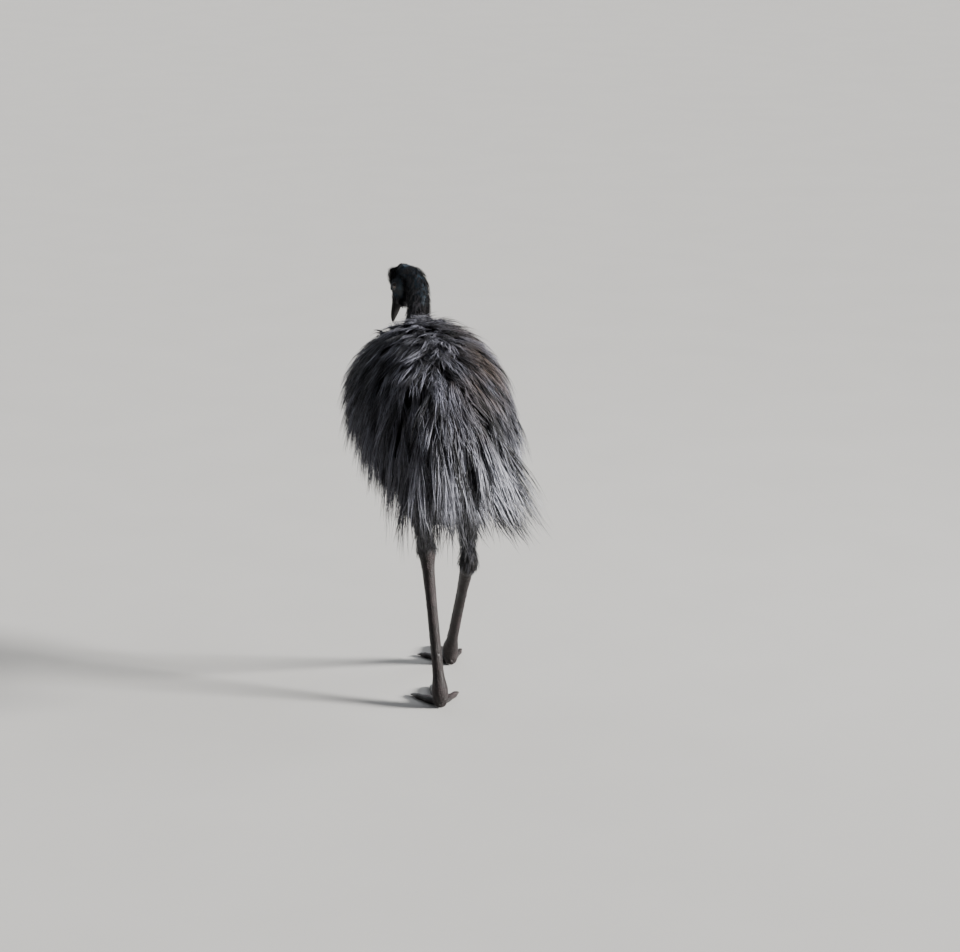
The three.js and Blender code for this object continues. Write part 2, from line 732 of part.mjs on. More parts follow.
function toeSolid(leg, hand, toe, grow) {
  const curve = new THREE.CatmullRomCurve3(toePath(leg, hand, toe), false, "centripetal");
  const pads = toe.name === "middle" ? 3 : 2;
  const solid = limb(
    curve,
    (share) => {
      const bump = 1 + 0.09 * Math.cos(2 * Math.PI * share * pads);
      const end = Math.sqrt(1 - 0.55 * smooth(share, 0.9, 1));
      const wide = toe.wide * lerp(1.12, 0.74, share) * bump * end + grow;
      return { wide, high: wide * 0.86, low: wide * 0.9 };
    },
    8,
    8,
    () => v3(0, -0.35, 1).normalize(),
  );
  return { solid, curve };
}

function clawSolid(leg, hand, toe) {
  const { curve } = toeSolid(leg, hand, toe, 0);
  const tip = curve.getPointAt(1);
  const way = curve.getTangentAt(1);
  const end = tip.clone().addScaledVector(way, toe.claw).setZ(3);
  const arch = tip.clone().addScaledVector(way, toe.claw * 0.35).add(v3(0, 0, 1.5));
  const path = new THREE.CatmullRomCurve3([tip.clone().addScaledVector(way, -7), arch, end]);
  return limb(
    path,
    (share) => {
      const wide = toe.wide * 0.6 * (1 - share ** 1.5) + 0.9;
      return { wide, high: wide * 0.92, low: wide * 0.8 };
    },
    5,
    6,
    () => v3(0, -0.35, 1).normalize(),
  );
}

// Wings: tiny arms that lie on the flanks under their own few plumes
function wingSolid(hand, grow) {
  const at = (y, angleDegrees, off) => {
    const angle = degrees(angleDegrees) * hand;
    return corePoint(y, angle).addScaledVector(coreNormal(y, angle), off);
  };
  const bones = [at(-235, 58, 2), at(-185, 64, 9), at(-130, 76, 10), at(-88, 92, 10)];
  const curve = new THREE.CatmullRomCurve3(bones);
  const arm = limb(
    curve,
    (share) => {
      const wide = lerp(21, 9, share) * Math.sqrt(1 - 0.6 * smooth(share, 0.92, 1)) + grow;
      return { wide, high: wide * 0.78 };
    },
    9,
    10,
    () => v3(hand, 0, 0.5).normalize(),
  );
  const random = randomFrom(hand > 0 ? 501 : 502);
  const locks = [];
  for (let row = 0; row < 2; row++) {
    for (let i = 0; i < 2; i++) {
      const jitter = [random(), random()].map((v) => 2 * v - 1);
      const share = 0.2 + i * 0.4 + row * 0.16;
      const root = curve.getPointAt(share);
      const angle = standOff(root).angle;
      const out = coreNormal(root.y, angle);
      const heading = lieAt(root.y, angle);
      const length = 128 * (1 + 0.1 * jitter[0]);
      const path = [];
      const normals = [];
      for (let k = 0; k <= 4; k++) {
        const along = k / 4;
        const point = root.clone().addScaledVector(heading, length * along * 0.9);
        point.z -= 18 * along * along + 6 * row;
        const now = standOff(point);
        const wanted = lerp(4, COAT_HEIGHT + 4 + row * 5, along ** 0.75);
        if (k > 0) point.addScaledVector(now.out, wanted - now.off);
        path.push(point);
        normals.push(out);
      }
      locks.push(lockAlong(path, normals, 26, 4, grow));
    }
  }
  return unionOf([arm, ...locks]);
}

// Assembly
const group = new THREE.Group();
const material = (color, roughness) => new THREE.MeshStandardMaterial({ color, roughness, metalness: 0 });
const plumage = material(0x4a443f, 0.85);
const napeSkin = material(0x33465a, 0.6);
const hornyBill = material(0x2b2826, 0.45);
const legScale = material(0x4b3c34, 0.6);
const clawHorn = material(0x1f1c1b, 0.4);
const eyeGloss = material(0x5a2c14, 0.08);

function add(name, solid, look) {
  const once = solidOf(geometryOf(largestOf(solid)));
  const mesh = new THREE.Mesh(geometryOf(largestOf(once)), look);
  mesh.name = name;
  group.add(mesh);
}

const clearOf = (solid, grown) => solid.subtract(grown.subtract(trunkCore));
const floor = (solid) => solid.trimByPlane([0, 0, 1], 0);

// Neck parts, each cut clear of the one above it, whose locks hang over it
const neckParts = [0, 1, 2].map((n) => neckPart(n, 0));
const neckGrown = [0, 1, 2].map((n) => neckPart(n, GROW));
const headPlaced = placed(headLocal(GROW));
const neckClear = [
  neckParts[0].subtract(neckGrown[1]).subtract(trunkCoreGrown),
  neckParts[1].subtract(neckGrown[2]).subtract(neckSolid(GROW).trimByPlane(
    neckCurve.getTangentAt(NECK_SPLITS[1]).negate().toArray(),
    -neckCurve.getPointAt(NECK_SPLITS[1]).dot(neckCurve.getTangentAt(NECK_SPLITS[1])),
  )),
  neckParts[2],
];
const headSolid = placed(headWhole());
neckClear[2] = neckClear[2].subtract(headPlaced).subtract(unionOf(bristles(GROW).map(placed)));
add("neck_lower", neckClear[0], plumage);
add("neck_middle", neckClear[1], plumage);
add("neck_upper", neckClear[2], napeSkin);
add("head", headSolid, napeSkin);
add("bill_upper", placed(billHalf(true)), hornyBill);
add("bill_lower", placed(billHalf(false)), hornyBill);
add("eye_left", placed(eyeLocal(1, 0)), eyeGloss);
add("eye_right", placed(eyeLocal(-1, 0)), eyeGloss);

// Trunk, cut clear of all that lies on it or comes out of it
let trunk = unionOf([trunkCore, ...trunkLocks(0, TAIL_CUT_Y)]);
trunk = clearOf(trunk, unionOf(neckGrown));
const shanks = {};
for (const [sideName, leg] of Object.entries(LEGS)) {
  const parts = legSolids(leg, 0);
  const grown = legSolids(leg, 2 * GROW);
  shanks[sideName] = parts.shank.subtract(trunkCoreGrown);
  trunk = clearOf(trunk, grown.shank);
  add("shank_" + sideName, shanks[sideName], plumage);
  add("tarsus_" + sideName, floor(parts.tarsus), legScale);
}
for (const [sideName, hand] of [["left", 1], ["right", -1]]) {
  trunk = clearOf(trunk, wingSolid(hand, GROW));
  add("wing_" + sideName, wingSolid(hand, 0).subtract(trunkCoreGrown), plumage);
}
add("torso", trunk, plumage);

const trunkGrown = unionOf([trunkCoreGrown, ...trunkLocks(GROW, TAIL_CUT_Y)]);
let tail = unionOf([tailCore, ...tailLocks(0)]);
tail = tail.subtract(trunkGrown);
add("tail", tail, plumage);

for (const [sideName, leg] of Object.entries(LEGS)) {
  const hand = sideName === "left" ? 1 : -1;
  const grown = legSolids(leg, GAP + 0.05).tarsus;
  const cutters = [grown];
  for (const toe of [TOES[1], TOES[0], TOES[2]]) {
    let solid = floor(toeSolid(leg, hand, toe, 0).solid);
    for (const cutter of cutters) solid = solid.subtract(cutter);
    const claw = clawSolid(leg, hand, toe);
    const grownToe = toeSolid(leg, hand, toe, GAP + 0.05).solid;
    add("toe_" + toe.name + "_" + sideName, solid, legScale);
    add("claw_" + toe.name + "_" + sideName, floor(claw).subtract(grownToe), clawHorn);
    cutters.push(grownToe);
  }
}

// The origin is the middle of the whole bird's box, on the ground
const middle = new THREE.Box3().setFromObject(group).getCenter(v3());
group.position.set(-middle.x, -middle.y, 0);

export default group;
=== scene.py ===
import math
import bpy
import numpy as np
from mathutils import Matrix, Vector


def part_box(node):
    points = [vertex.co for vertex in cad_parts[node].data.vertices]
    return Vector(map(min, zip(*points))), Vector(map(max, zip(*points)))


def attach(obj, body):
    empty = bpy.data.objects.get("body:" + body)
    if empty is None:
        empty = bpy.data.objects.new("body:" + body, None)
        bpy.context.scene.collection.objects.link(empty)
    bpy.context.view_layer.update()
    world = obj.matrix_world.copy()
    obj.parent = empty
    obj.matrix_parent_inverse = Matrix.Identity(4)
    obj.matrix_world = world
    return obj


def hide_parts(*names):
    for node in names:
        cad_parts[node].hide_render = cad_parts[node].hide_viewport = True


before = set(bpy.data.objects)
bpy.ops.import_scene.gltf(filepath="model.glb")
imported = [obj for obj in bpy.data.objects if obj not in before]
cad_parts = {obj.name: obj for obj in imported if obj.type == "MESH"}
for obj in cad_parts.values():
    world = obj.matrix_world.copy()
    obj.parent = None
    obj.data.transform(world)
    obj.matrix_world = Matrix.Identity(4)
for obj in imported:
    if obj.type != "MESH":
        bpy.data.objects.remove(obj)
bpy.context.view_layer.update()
scene = bpy.context.scene


# Where the bird stands
# The sizes below are in metres from the middle of the bird's own stance. The left eye is a ball whose
# centre follows from the head's sizes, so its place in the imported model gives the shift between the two.
NECK_END = np.array([-0.020, -0.744, 0.986])
HEAD_WAY = np.array([0.29, -0.08, -0.953])
HEAD_WAY /= np.linalg.norm(HEAD_WAY)
HEAD_CROWN = np.array([0.72, -0.64, 0.25])
HEAD_CROWN -= HEAD_WAY * HEAD_CROWN.dot(HEAD_WAY)
HEAD_CROWN /= np.linalg.norm(HEAD_CROWN)
HEAD_LEFT = np.cross(HEAD_CROWN, HEAD_WAY)
HEAD_FRAME = np.stack([HEAD_WAY, HEAD_LEFT, HEAD_CROWN])
HEAD_ORIGIN = NECK_END - 0.023 * HEAD_WAY
EYE = np.array([0.058, 0.0195, 0.006])
EYE_RADIUS = 0.015


def in_head(points):
    """Points of the head's own frame (toward the bill, left, crown) in the bird's metres"""
    points = np.asarray(points, float)
    return HEAD_ORIGIN + points @ HEAD_FRAME


eye_box = np.array([list(corner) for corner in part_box("eye_left")])
STANCE = eye_box.mean(0) - in_head(EYE)


# Camera, floor and light
# The photograph looks at the bird from behind and a little above, from about eight metres away with a long
# lens. The floor is plain and pale. A soft low sun lights the bird from its right, and two weak lamps fill
# in from the front and from above.
CAMERA_RIGHT = np.array([-0.988, 0.156, 0.0])
CAMERA_UP = np.array([-0.0405, -0.2557, 0.966])
CAMERA_BACK = np.cross(CAMERA_RIGHT, CAMERA_UP)
CAMERA_DISTANCE = 8.0
aim = STANCE + 0.116 * CAMERA_RIGHT + 0.568 * CAMERA_UP
camera_data = bpy.data.cameras.new("camera")
camera_data.sensor_width = 36.0
camera_data.lens = 111.0
camera_data.clip_end = 90.0
camera = bpy.data.objects.new("camera", camera_data)
scene.collection.objects.link(camera)
turned = np.eye(4)
turned[:3, :3] = np.stack([CAMERA_RIGHT, CAMERA_UP, CAMERA_BACK], 1)
turned[:3, 3] = aim + CAMERA_DISTANCE * CAMERA_BACK
camera.matrix_world = Matrix(turned.tolist())
scene.camera = camera


def node_in(tree, kind, **values):
    """A node of a kind, with its properties and unlinked inputs set by name"""
    node = tree.nodes.new(kind)
    for key, value in values.items():
        if hasattr(node, key):
            setattr(node, key, value)
        else:
            node.inputs[key.replace("_", " ")].default_value = value
    return node


def plain_material(name):
    material = bpy.data.materials.new(name)
    material.use_nodes = True
    tree = material.node_tree
    return material, tree, tree.nodes["Principled BSDF"]


def texture_in(tree, kind, **values):
    """A texture node that reads the piece's own coordinates"""
    texture = node_in(tree, kind, **values)
    place = tree.nodes.new("ShaderNodeTexCoord")
    tree.links.new(place.outputs["Object"], texture.inputs["Vector"])
    return texture


def piece_of(name, points, faces):
    """A smooth mesh object at the origin; faces are index arrays of three or four corners"""
    mesh = bpy.data.meshes.new(name)
    points = np.asarray(points, np.float32)
    mesh.vertices.add(len(points))
    mesh.vertices.foreach_set("co", points.ravel())
    sizes = np.concatenate([np.full(len(f), f.shape[1]) for f in faces])
    corners = np.concatenate([f.ravel() for f in faces]).astype(np.int32)
    starts = np.concatenate([[0], np.cumsum(sizes)[:-1]]).astype(np.int32)
    mesh.loops.add(len(corners))
    mesh.loops.foreach_set("vertex_index", corners)
    mesh.polygons.add(len(sizes))
    mesh.polygons.foreach_set("loop_start", starts)
    mesh.polygons.foreach_set("use_smooth", np.ones(len(sizes), bool))
    mesh.update(calc_edges=True)
    piece = bpy.data.objects.new(name, mesh)
    scene.collection.objects.link(piece)
    return piece


FLOOR_HALF = 30.0
floor_corners = [[x, y, 0.0] for x, y in [(-1, -1), (1, -1), (1, 1), (-1, 1)]]
floor = piece_of("floor", FLOOR_HALF * np.array(floor_corners), [np.array([[0, 1, 2, 3]])])
floor_look, tree, shader = plain_material("pale_floor")
noise = texture_in(tree, "ShaderNodeTexNoise", Scale=3.0, Detail=4.0)
ramp = node_in(tree, "ShaderNodeValToRGB")
ramp.color_ramp.elements[0].color = (0.46, 0.452, 0.436, 1)
ramp.color_ramp.elements[1].color = (0.50, 0.492, 0.476, 1)
tree.links.new(noise.outputs["Fac"], ramp.inputs["Fac"])
tree.links.new(ramp.outputs["Color"], shader.inputs["Base Color"])
shader.inputs["Roughness"].default_value = 0.9
floor.data.materials.append(floor_look)

world = bpy.data.worlds.new("studio")
world.use_nodes = True
world.node_tree.nodes["Background"].inputs["Color"].default_value = (0.84, 0.89, 0.96, 1)
world.node_tree.nodes["Background"].inputs["Strength"].default_value = 0.15
scene.world = world

BIRD_MIDDLE = np.array([0.0, 0.0, 0.65])
PANELS = [
    ("low_sun", "SUN", -4.3, 1.5, 2.2, 0.22, 15.0, (1.0, 0.98, 0.95)),
    ("front", "SUN", 2.0, -4.6, 2.3, 1.3, 1.5, (0.92, 0.95, 1.0)),
    ("top", "AREA", -2.8, 0.2, 3.4, 2.0, 50.0, (0.95, 0.97, 1.0)),
]
for panel_name, kind, x, y, z, width, power, colour in PANELS:
    panel_data = bpy.data.lights.new(panel_name, kind)
    if kind == "SUN":
        panel_data.angle = width
    else:
        panel_data.shape = "DISK"
        panel_data.size = width
    panel_data.energy = power
    panel_data.color = colour
    panel = bpy.data.objects.new(panel_name, panel_data)
    scene.collection.objects.link(panel)
    away = np.array([x, y, z]) - BIRD_MIDDLE
    away /= np.linalg.norm(away)
    side = np.cross([0.0, 0.0, 1.0], away)
    side /= np.linalg.norm(side)
    turned = np.eye(4)
    turned[:3, :3] = np.stack([side, np.cross(away, side), away], 1)
    turned[:3, 3] = [x, y, z]
    panel.matrix_world = Matrix(turned.tolist())


# Skin
# One unbroken skin runs from the tail over the trunk, neck and head and down both legs to the toes. It is
# dark under the plumage, bare and blue at the nape and face, and scaly from the hocks down.
BODY_X = 0.016
BODY_MIDDLE_Y = 0.020
BODY_HALF_LENGTH = 0.365
BODY_HALF_WIDTH = 0.166
BODY_HALF_HEIGHT = 0.166
BODY_CENTRE_Z = 0.800
UNDER_COAT = 0.006


def unit(vectors):
    return vectors / np.maximum(np.linalg.norm(vectors, axis=-1, keepdims=True), 1e-9)


def rise(value, low, high):
    share = np.clip((value - low) / (high - low), 0.0, 1.0)
    return share * share * (3 - 2 * share)


def blend_of(low, high, share):
    return low + (high - low) * share


def body_section(y):
    """Height of the middle and half sizes across, up and down of the trunk at a station"""
    t = np.clip((y - BODY_MIDDLE_Y) / BODY_HALF_LENGTH, -1, 1)
    full = np.maximum(1 - np.abs(t) ** 2.5, 0) ** 0.56
    centre = BODY_CENTRE_Z - 0.020 * t - 0.034 * t * t
    wide = BODY_HALF_WIDTH * full * (1 - 0.05 * t)
    return centre, wide, BODY_HALF_HEIGHT * full, BODY_HALF_HEIGHT * full * 1.04


def body_point(y, angle):
    """A point of the trunk at a station and an angle from the ridge of the back, left positive"""
    centre, wide, high, low = body_section(y)
    up = np.cos(angle)
    z = centre + np.where(up > 0, high, low) * up
    return np.stack([BODY_X + wide * np.sin(angle), y + 0 * angle, z], -1)


CURVE_LAST = 399


def curve_through(points):
    """Four hundred even points along the smooth curve through a few, and its length"""
    p = np.asarray(points, float)
    p = np.concatenate([[2 * p[0] - p[1]], p, [2 * p[-1] - p[-2]]])
    parts = []
    for i in range(1, len(p) - 2):
        a, b, c, d = p[i - 1], p[i], p[i + 1], p[i + 2]
        ab, bc, cd = [float((e @ e) ** 0.25) for e in (b - a, c - b, d - c)]
        leave = ((b - a) / ab - (c - a) / (ab + bc) + (c - b) / bc) * bc
        arrive = ((c - b) / bc - (d - b) / (bc + cd) + (d - c) / cd) * bc
        t = np.linspace(0, 1, 60, endpoint=False)[:, None]
        square = (-3 * b + 3 * c - 2 * leave - arrive) * t**2
        parts.append(b + leave * t + square + (2 * b - 2 * c + leave + arrive) * t**3)
    parts.append(p[-2:-1])
    fine = np.concatenate(parts)
    length = np.concatenate([[0], np.cumsum(np.linalg.norm(np.diff(fine, axis=0), axis=1))])
    even = np.linspace(0, length[-1], CURVE_LAST + 1)
    return np.stack([np.interp(even, length, fine[:, k]) for k in range(3)], 1), length[-1]


def along_curve(curve, share):
    """Points and directions at shares of a curve's length"""
    at = np.clip(np.asarray(share, float), 0, 1) * CURVE_LAST
    first = np.clip(np.floor(at).astype(int), 0, CURVE_LAST - 1)
    part = (at - first)[..., None]
    point = curve[first] * (1 - part) + curve[first + 1] * part
    before = np.clip(first - 2, 0, CURVE_LAST)
    after = np.clip(first + 3, 0, CURVE_LAST)
    return point, unit(curve[after] - curve[before])


def frame_along(curve, share, up_hint):
    """Points of a curve at some shares, with the ways across it and up from it"""
    point, along = along_curve(curve, share)
    across = unit(np.cross(along, np.broadcast_to(up_hint, along.shape)))
    return point, across, np.cross(across, along)


def limb_rings(curve, shares, sizes, up_hint, sides):
    """Rings round a curve; sizes gives half sizes across, up and down for each share"""
    point, across, up = frame_along(curve, shares, up_hint)
    wide, high, low = [np.broadcast_to(size, shares.shape)[:, None] for size in sizes]
    angle = np.linspace(0, 2 * math.pi, sides, endpoint=False)[None]
    tall = np.where(np.cos(angle) > 0, high, low) * np.cos(angle)
    wide = wide * np.sin(angle)
    return point[:, None] + across[:, None] * wide[..., None] + up[:, None] * tall[..., None]


def closed_loft(rings):
    """Points and outward faces of a closed skin over rings, each end closed round its middle"""
    count, sides = rings.shape[:2]
    points = np.concatenate([rings.reshape(-1, 3), rings[:1].mean(1), rings[-1:].mean(1)])
    row = np.arange(count - 1)[:, None] * sides
    here = np.arange(sides)[None]
    after = (here + 1) % sides
    quads = np.stack([row + here, row + after, row + sides + after, row + sides + here], -1)
    quads = quads.reshape(-1, 4)
    last = (count - 1) * sides
    start_fan = np.stack([np.full(sides, count * sides), after[0], here[0]], -1)
    end_fan = np.stack([np.full(sides, count * sides + 1), last + here[0], last + after[0]], -1)
    a, b, c, d = [points[quads[:, k]] for k in range(4)]
    volume = np.einsum("ij,ij->", a, np.cross(b, c)) + np.einsum("ij,ij->", a, np.cross(c, d))
    fans = np.concatenate([start_fan, end_fan])
    a, b, c = [points[fans[:, k]] for k in range(3)]
    volume += np.einsum("ij,ij->", a, np.cross(b, c))
    if volume < 0:
        quads, fans = quads[:, ::-1], fans[:, ::-1]
    return points, [quads, fans]


NECK_POINTS = [
    (BODY_X, -0.150, 0.838),
    (BODY_X - 0.008, -0.330, 0.822),
    (BODY_X - 0.022, -0.455, 0.803),
    (-0.022, -0.543, 0.840),
    (-0.038, -0.606, 0.904),
    (-0.045, -0.660, 0.945),
    (-0.040, -0.710, 0.978),
    (-0.020, -0.744, 0.986),
]
neck_curve, neck_length = curve_through(NECK_POINTS)
NECK_UP = np.array([0.0, 0.55, 1.0]) / math.hypot(0.55, 1.0)


def neck_radius(share):
    return blend_of(0.086, 0.033, rise(share, 0, 0.72) ** 0.8) + 0.002 * rise(share, 0.85, 1)


HEAD_LENGTH = 0.104


def head_sizes(share):
    """Half sizes of the skull across, up and down, from the nape to the root of the bill"""
    skull = np.sin(math.pi * np.clip(0.78 * share + 0.16, 0, 1))
    face = rise(share, 0.45, 1)
    wide = blend_of(0.034 * skull**0.7, 0.0195, face)
    high = blend_of(0.035 * skull**0.8, 0.0135, face)
    throat = 0.010 * np.exp(-(((share - 0.68) / 0.26) ** 2))
    return wide, high, blend_of(0.030 * skull**0.6, 0.015, face) + throat


def ball_points(centre, radii, across=40, down=24):
    """Points and faces of a closed ball, stretched along the axes"""
    polar = np.linspace(0.02, math.pi - 0.02, down)
    turn = np.linspace(0, 2 * math.pi, across, endpoint=False)
    ring = np.stack([
        np.sin(polar)[:, None] * np.cos(turn)[None],
        np.sin(polar)[:, None] * np.sin(turn)[None],
        np.cos(polar)[:, None] + 0 * turn[None],
    ], -1)
    return closed_loft(np.asarray(centre) + ring * np.asarray(radii))


TARSUS_LENGTH = 0.376
HEEL_DROP = 0.037
LEG_FRONT = np.array([0, -1.0, 0.02])
TOE_TOP = np.array([0, -0.35, 1.0])
LEGS = {
    "left": dict(hand=1, ball=(0.016, 0.170, 0.044), lean=-20, out=2.6, turn_in=0,
                 knee=(0.070, -0.165, 0.740), hip=(0.084, -0.090, 0.790)),
    "right": dict(hand=-1, ball=(-0.063, -0.178, 0.044), lean=34, out=-3.4, turn_in=8,
                  knee=(-0.104, -0.150, 0.700), hip=(-0.092, -0.090, 0.780)),
}
for leg in LEGS.values():
    ball = np.array(leg["ball"])
    lean, out = math.radians(leg["lean"]), math.radians(leg["out"])
    up_leg = unit(np.array([math.tan(out), math.tan(lean), 1.0]))
    hock = ball + TARSUS_LENGTH * up_leg
    shank = unit(hock - np.array(leg["knee"]))
    leg["curve"], leg["length"] = curve_through([
        leg["hip"], leg["knee"], hock - 0.150 * shank, hock - 0.036 * shank, hock,
        hock - 0.036 * up_leg, (hock + ball) / 2, ball + 0.030 * up_leg, ball,
        ball - [0, 0, HEEL_DROP],
    ])
    leg["hock"] = hock
    leg["hock_share"] = np.argmin(np.linalg.norm(leg["curve"] - hock, axis=1)) / CURVE_LAST


def leg_radius(leg, share, coat=0.0):
    """Half sizes across and fore and aft of a leg; coat is how much of the feathering counts"""
    distance = (share - leg["hock_share"]) * leg["length"]
    joint = np.exp(-((distance / 0.030) ** 2))
    above = rise(-distance, 0.020, 0.260) ** 1.15
    past_ball = distance - leg["length"] * (1 - leg["hock_share"]) + HEEL_DROP
    foot = np.exp(-((past_ball / 0.034) ** 2))
    pad = 1 - 0.3 * rise(past_ball, 0.014, HEEL_DROP)
    below = (blend_of(0.017, 0.0145, rise(distance, 0.020, 0.160)) + 0.007 * foot) * pad
    depth = (1 - coat) * (0.0015 + 0.009 * above)
    wide = np.where(distance < 0, blend_of(0.017, 0.062, above) - depth, below) + 0.008 * joint
    high = np.where(distance < 0, blend_of(0.019, 0.078, above) - depth, below * 1.12)
    return wide, high + np.where(distance < 0, 0.009, 0.008) * joint


TOES = {
    "inner": dict(turn=33, length=0.084, wide=0.012, claw=0.024),
    "middle": dict(turn=0, length=0.124, wide=0.0145, claw=0.030),
    "outer": dict(turn=-31, length=0.088, wide=0.012, claw=0.024),
}


def toe_curve(leg, toe):
    """The middle line of a toe, from behind the foot's ball to past the toe's end"""
    inward = math.radians(toe["turn"] + leg["turn_in"])
    ahead = np.array([-leg["hand"] * math.sin(inward), -math.cos(inward), 0.0])
    heel = np.array([leg["ball"][0], leg["ball"][1], 0.0])
    low = toe["wide"] * 0.68
    steps = [(-0.012, 0.018), (0.020, low + 0.005), (0.046, low + 0.002)]
    steps += [(toe["length"] * 0.78, low), (toe["length"] + 0.014, low - 0.003)]
    return curve_through([heel + ahead * away + np.array([0, 0, z]) for away, z in steps])[0]


def toe_sizes(toe_name, toe, share):
    pads = 3 if toe_name == "middle" else 2
    bump = 1 + 0.09 * np.cos(2 * math.pi * share * pads)
    wide = toe["wide"] * blend_of(1.12, 0.74, share) * bump
    wide = wide * np.sqrt(1 - 0.55 * rise(share, 0.9, 1))
    return wide, wide * 0.86, wide * 0.9


forms = []
stations = BODY_MIDDLE_Y - BODY_HALF_LENGTH * np.cos(np.linspace(0.03, math.pi - 0.03, 80))
round_angles = np.linspace(0, 2 * math.pi, 96, endpoint=False)
trunk = body_point(stations[:, None], round_angles[None])
trunk_middle = np.stack([np.full(80, BODY_X), stations, body_section(stations)[0]], 1)[:, None]
inward = unit(trunk - trunk_middle) * UNDER_COAT
forms.append(closed_loft(trunk - inward))
shares = np.linspace(0, 1, 150)
radius = neck_radius(shares) - 0.004
forms.append(closed_loft(limb_rings(neck_curve, shares, (radius * 0.94, radius, radius), NECK_UP, 64)))
shares = np.linspace(0, 1, 120)
wide, high, low = head_sizes(shares)
angle = np.linspace(0, 2 * math.pi, 96, endpoint=False)[None]
head_rings = np.stack([
    blend_of(-0.004, HEAD_LENGTH + 0.004, shares)[:, None] + 0 * angle,
    wide[:, None] * np.sin(angle),
    np.where(np.cos(angle) > 0, high[:, None], low[:, None]) * np.cos(angle),
], -1)
forms.append(closed_loft(in_head(head_rings)))
SWOLLEN = [
    ((EYE[0] - 0.001, EYE[1] + 0.0070, EYE[2] + 0.0085), (0.019, 0.0070, 0.0060)),
    ((EYE[0], EYE[1] + 0.0045, EYE[2]), (0.0155, 0.0096, 0.0136)),
    ((0.026, 0.0275, -0.004), (0.009, 0.0050, 0.0105)),
    ((0.086, 0.0140, -0.008), (0.022, 0.0070, 0.0075)),
]
for hand in (1, -1):
    for centre, radii in SWOLLEN:
        points, faces = ball_points((centre[0], hand * centre[1], centre[2]), radii)
        forms.append((in_head(points), faces))
# Station, angle from the ridge and height over the flank of each wing's stub of an arm
WING_ARM = [(-0.235, 58, 0.002), (-0.185, 64, 0.009), (-0.130, 76, 0.010), (-0.088, 92, 0.010)]
for hand in (1, -1):
    arm = []
    for y, turn, height in WING_ARM:
        point = body_point(np.array(y), np.array(hand * math.radians(turn)))
        arm.append(point + unit(point - [BODY_X, y, body_section(np.array(y))[0]]) * height)
    shares = np.linspace(0, 1, 60)
    thick = blend_of(0.021, 0.009, shares)
    half_sizes = (thick, thick * 0.8, thick * 0.8)
    rings = limb_rings(curve_through(arm)[0], shares, half_sizes, np.array([hand, 0, 0.3]), 24)
    forms.append(closed_loft(rings))
for leg_name, leg in LEGS.items():
    shares = np.linspace(0, 1, 260)
    wide, high = leg_radius(leg, shares)
    rings = limb_rings(leg["curve"], shares, (wide, high, high), LEG_FRONT, 48)
    forms.append(closed_loft(rings))
    for toe_name, toe in TOES.items():
        shares = np.linspace(0, 1, 90)
        curve = toe_curve(leg, toe)
        rings = limb_rings(curve, shares, toe_sizes(toe_name, toe, shares), TOE_TOP, 40)
        rings[..., 2] = np.maximum(rings[..., 2], 0.0)
        forms.append(closed_loft(rings))

# The remesh works on a copy whose head and feet are swollen, so that they get finer faces
SWELLINGS = []


def moved_out(points, centre, from_distances, to_distances):
    away = points - centre
    distance = np.maximum(np.linalg.norm(away, axis=1, keepdims=True), 1e-9)
    return centre + away * np.interp(distance, from_distances, to_distances) / distance


def swollen(points):
    for centre, even, uneven in SWELLINGS:
        points = moved_out(points, centre, even, uneven)
    return points


def settled(points):
    for centre, even, uneven in reversed(SWELLINGS):
        points = moved_out(points, centre, uneven, even)
    return points


for centre, reach, outer, times in [
    (in_head([0.055, 0, 0]), 0.085, 0.62, 4.2),
    (np.array(LEGS["left"]["ball"]) + [0, -0.05, -0.03], 0.13, 0.46, 2.2),
    (np.array(LEGS["right"]["ball"]) + [0, -0.05, -0.03], 0.13, 0.46, 2.2),
]:
    SWELLINGS.append((swollen(centre[None])[0], [0, reach, outer, 9.0], [0, reach * times, outer, 9.0]))

all_points = []
all_faces = [[], []]
count = 0
for points, (quads, fans) in forms:
    all_points.append(points)
    all_faces[0].append(quads + count)
    all_faces[1].append(fans + count)
    count += len(points)
draft = piece_of("skin_draft", swollen(np.concatenate(all_points)), [np.concatenate(f) for f in all_faces])
remesh = draft.modifiers.new("one_skin", "REMESH")
remesh.mode = "VOXEL"
remesh.voxel_size = 0.0058
remesh.use_smooth_shade = True
soften = draft.modifiers.new("soften", "SMOOTH")
soften.factor = 0.5
soften.iterations = 3
evaluated = draft.evaluated_get(bpy.context.evaluated_depsgraph_get())
skin_mesh = bpy.data.meshes.new_from_object(evaluated)
bpy.data.objects.remove(draft)
points = np.zeros(len(skin_mesh.vertices) * 3, np.float32)
skin_mesh.vertices.foreach_get("co", points)
points = settled(points.reshape(-1, 3).astype(float))


def to_head(points):
    """The bird's metres in the head's own frame"""
    return (points - HEAD_ORIGIN) @ HEAD_FRAME.T


LID_HALF = np.array([0.0100, 0.0080])
EAR = np.array([0.026, 0.0300, -0.004])
MOUTH_Z = -0.0045
local = to_head(points)
near_head = (local[:, 0] > -0.01) & (np.abs(local[:, 1]) < 0.06) & (np.abs(local[:, 2]) < 0.06)
side = np.sign(local[:, 1])
depth = np.abs(local[:, 1])
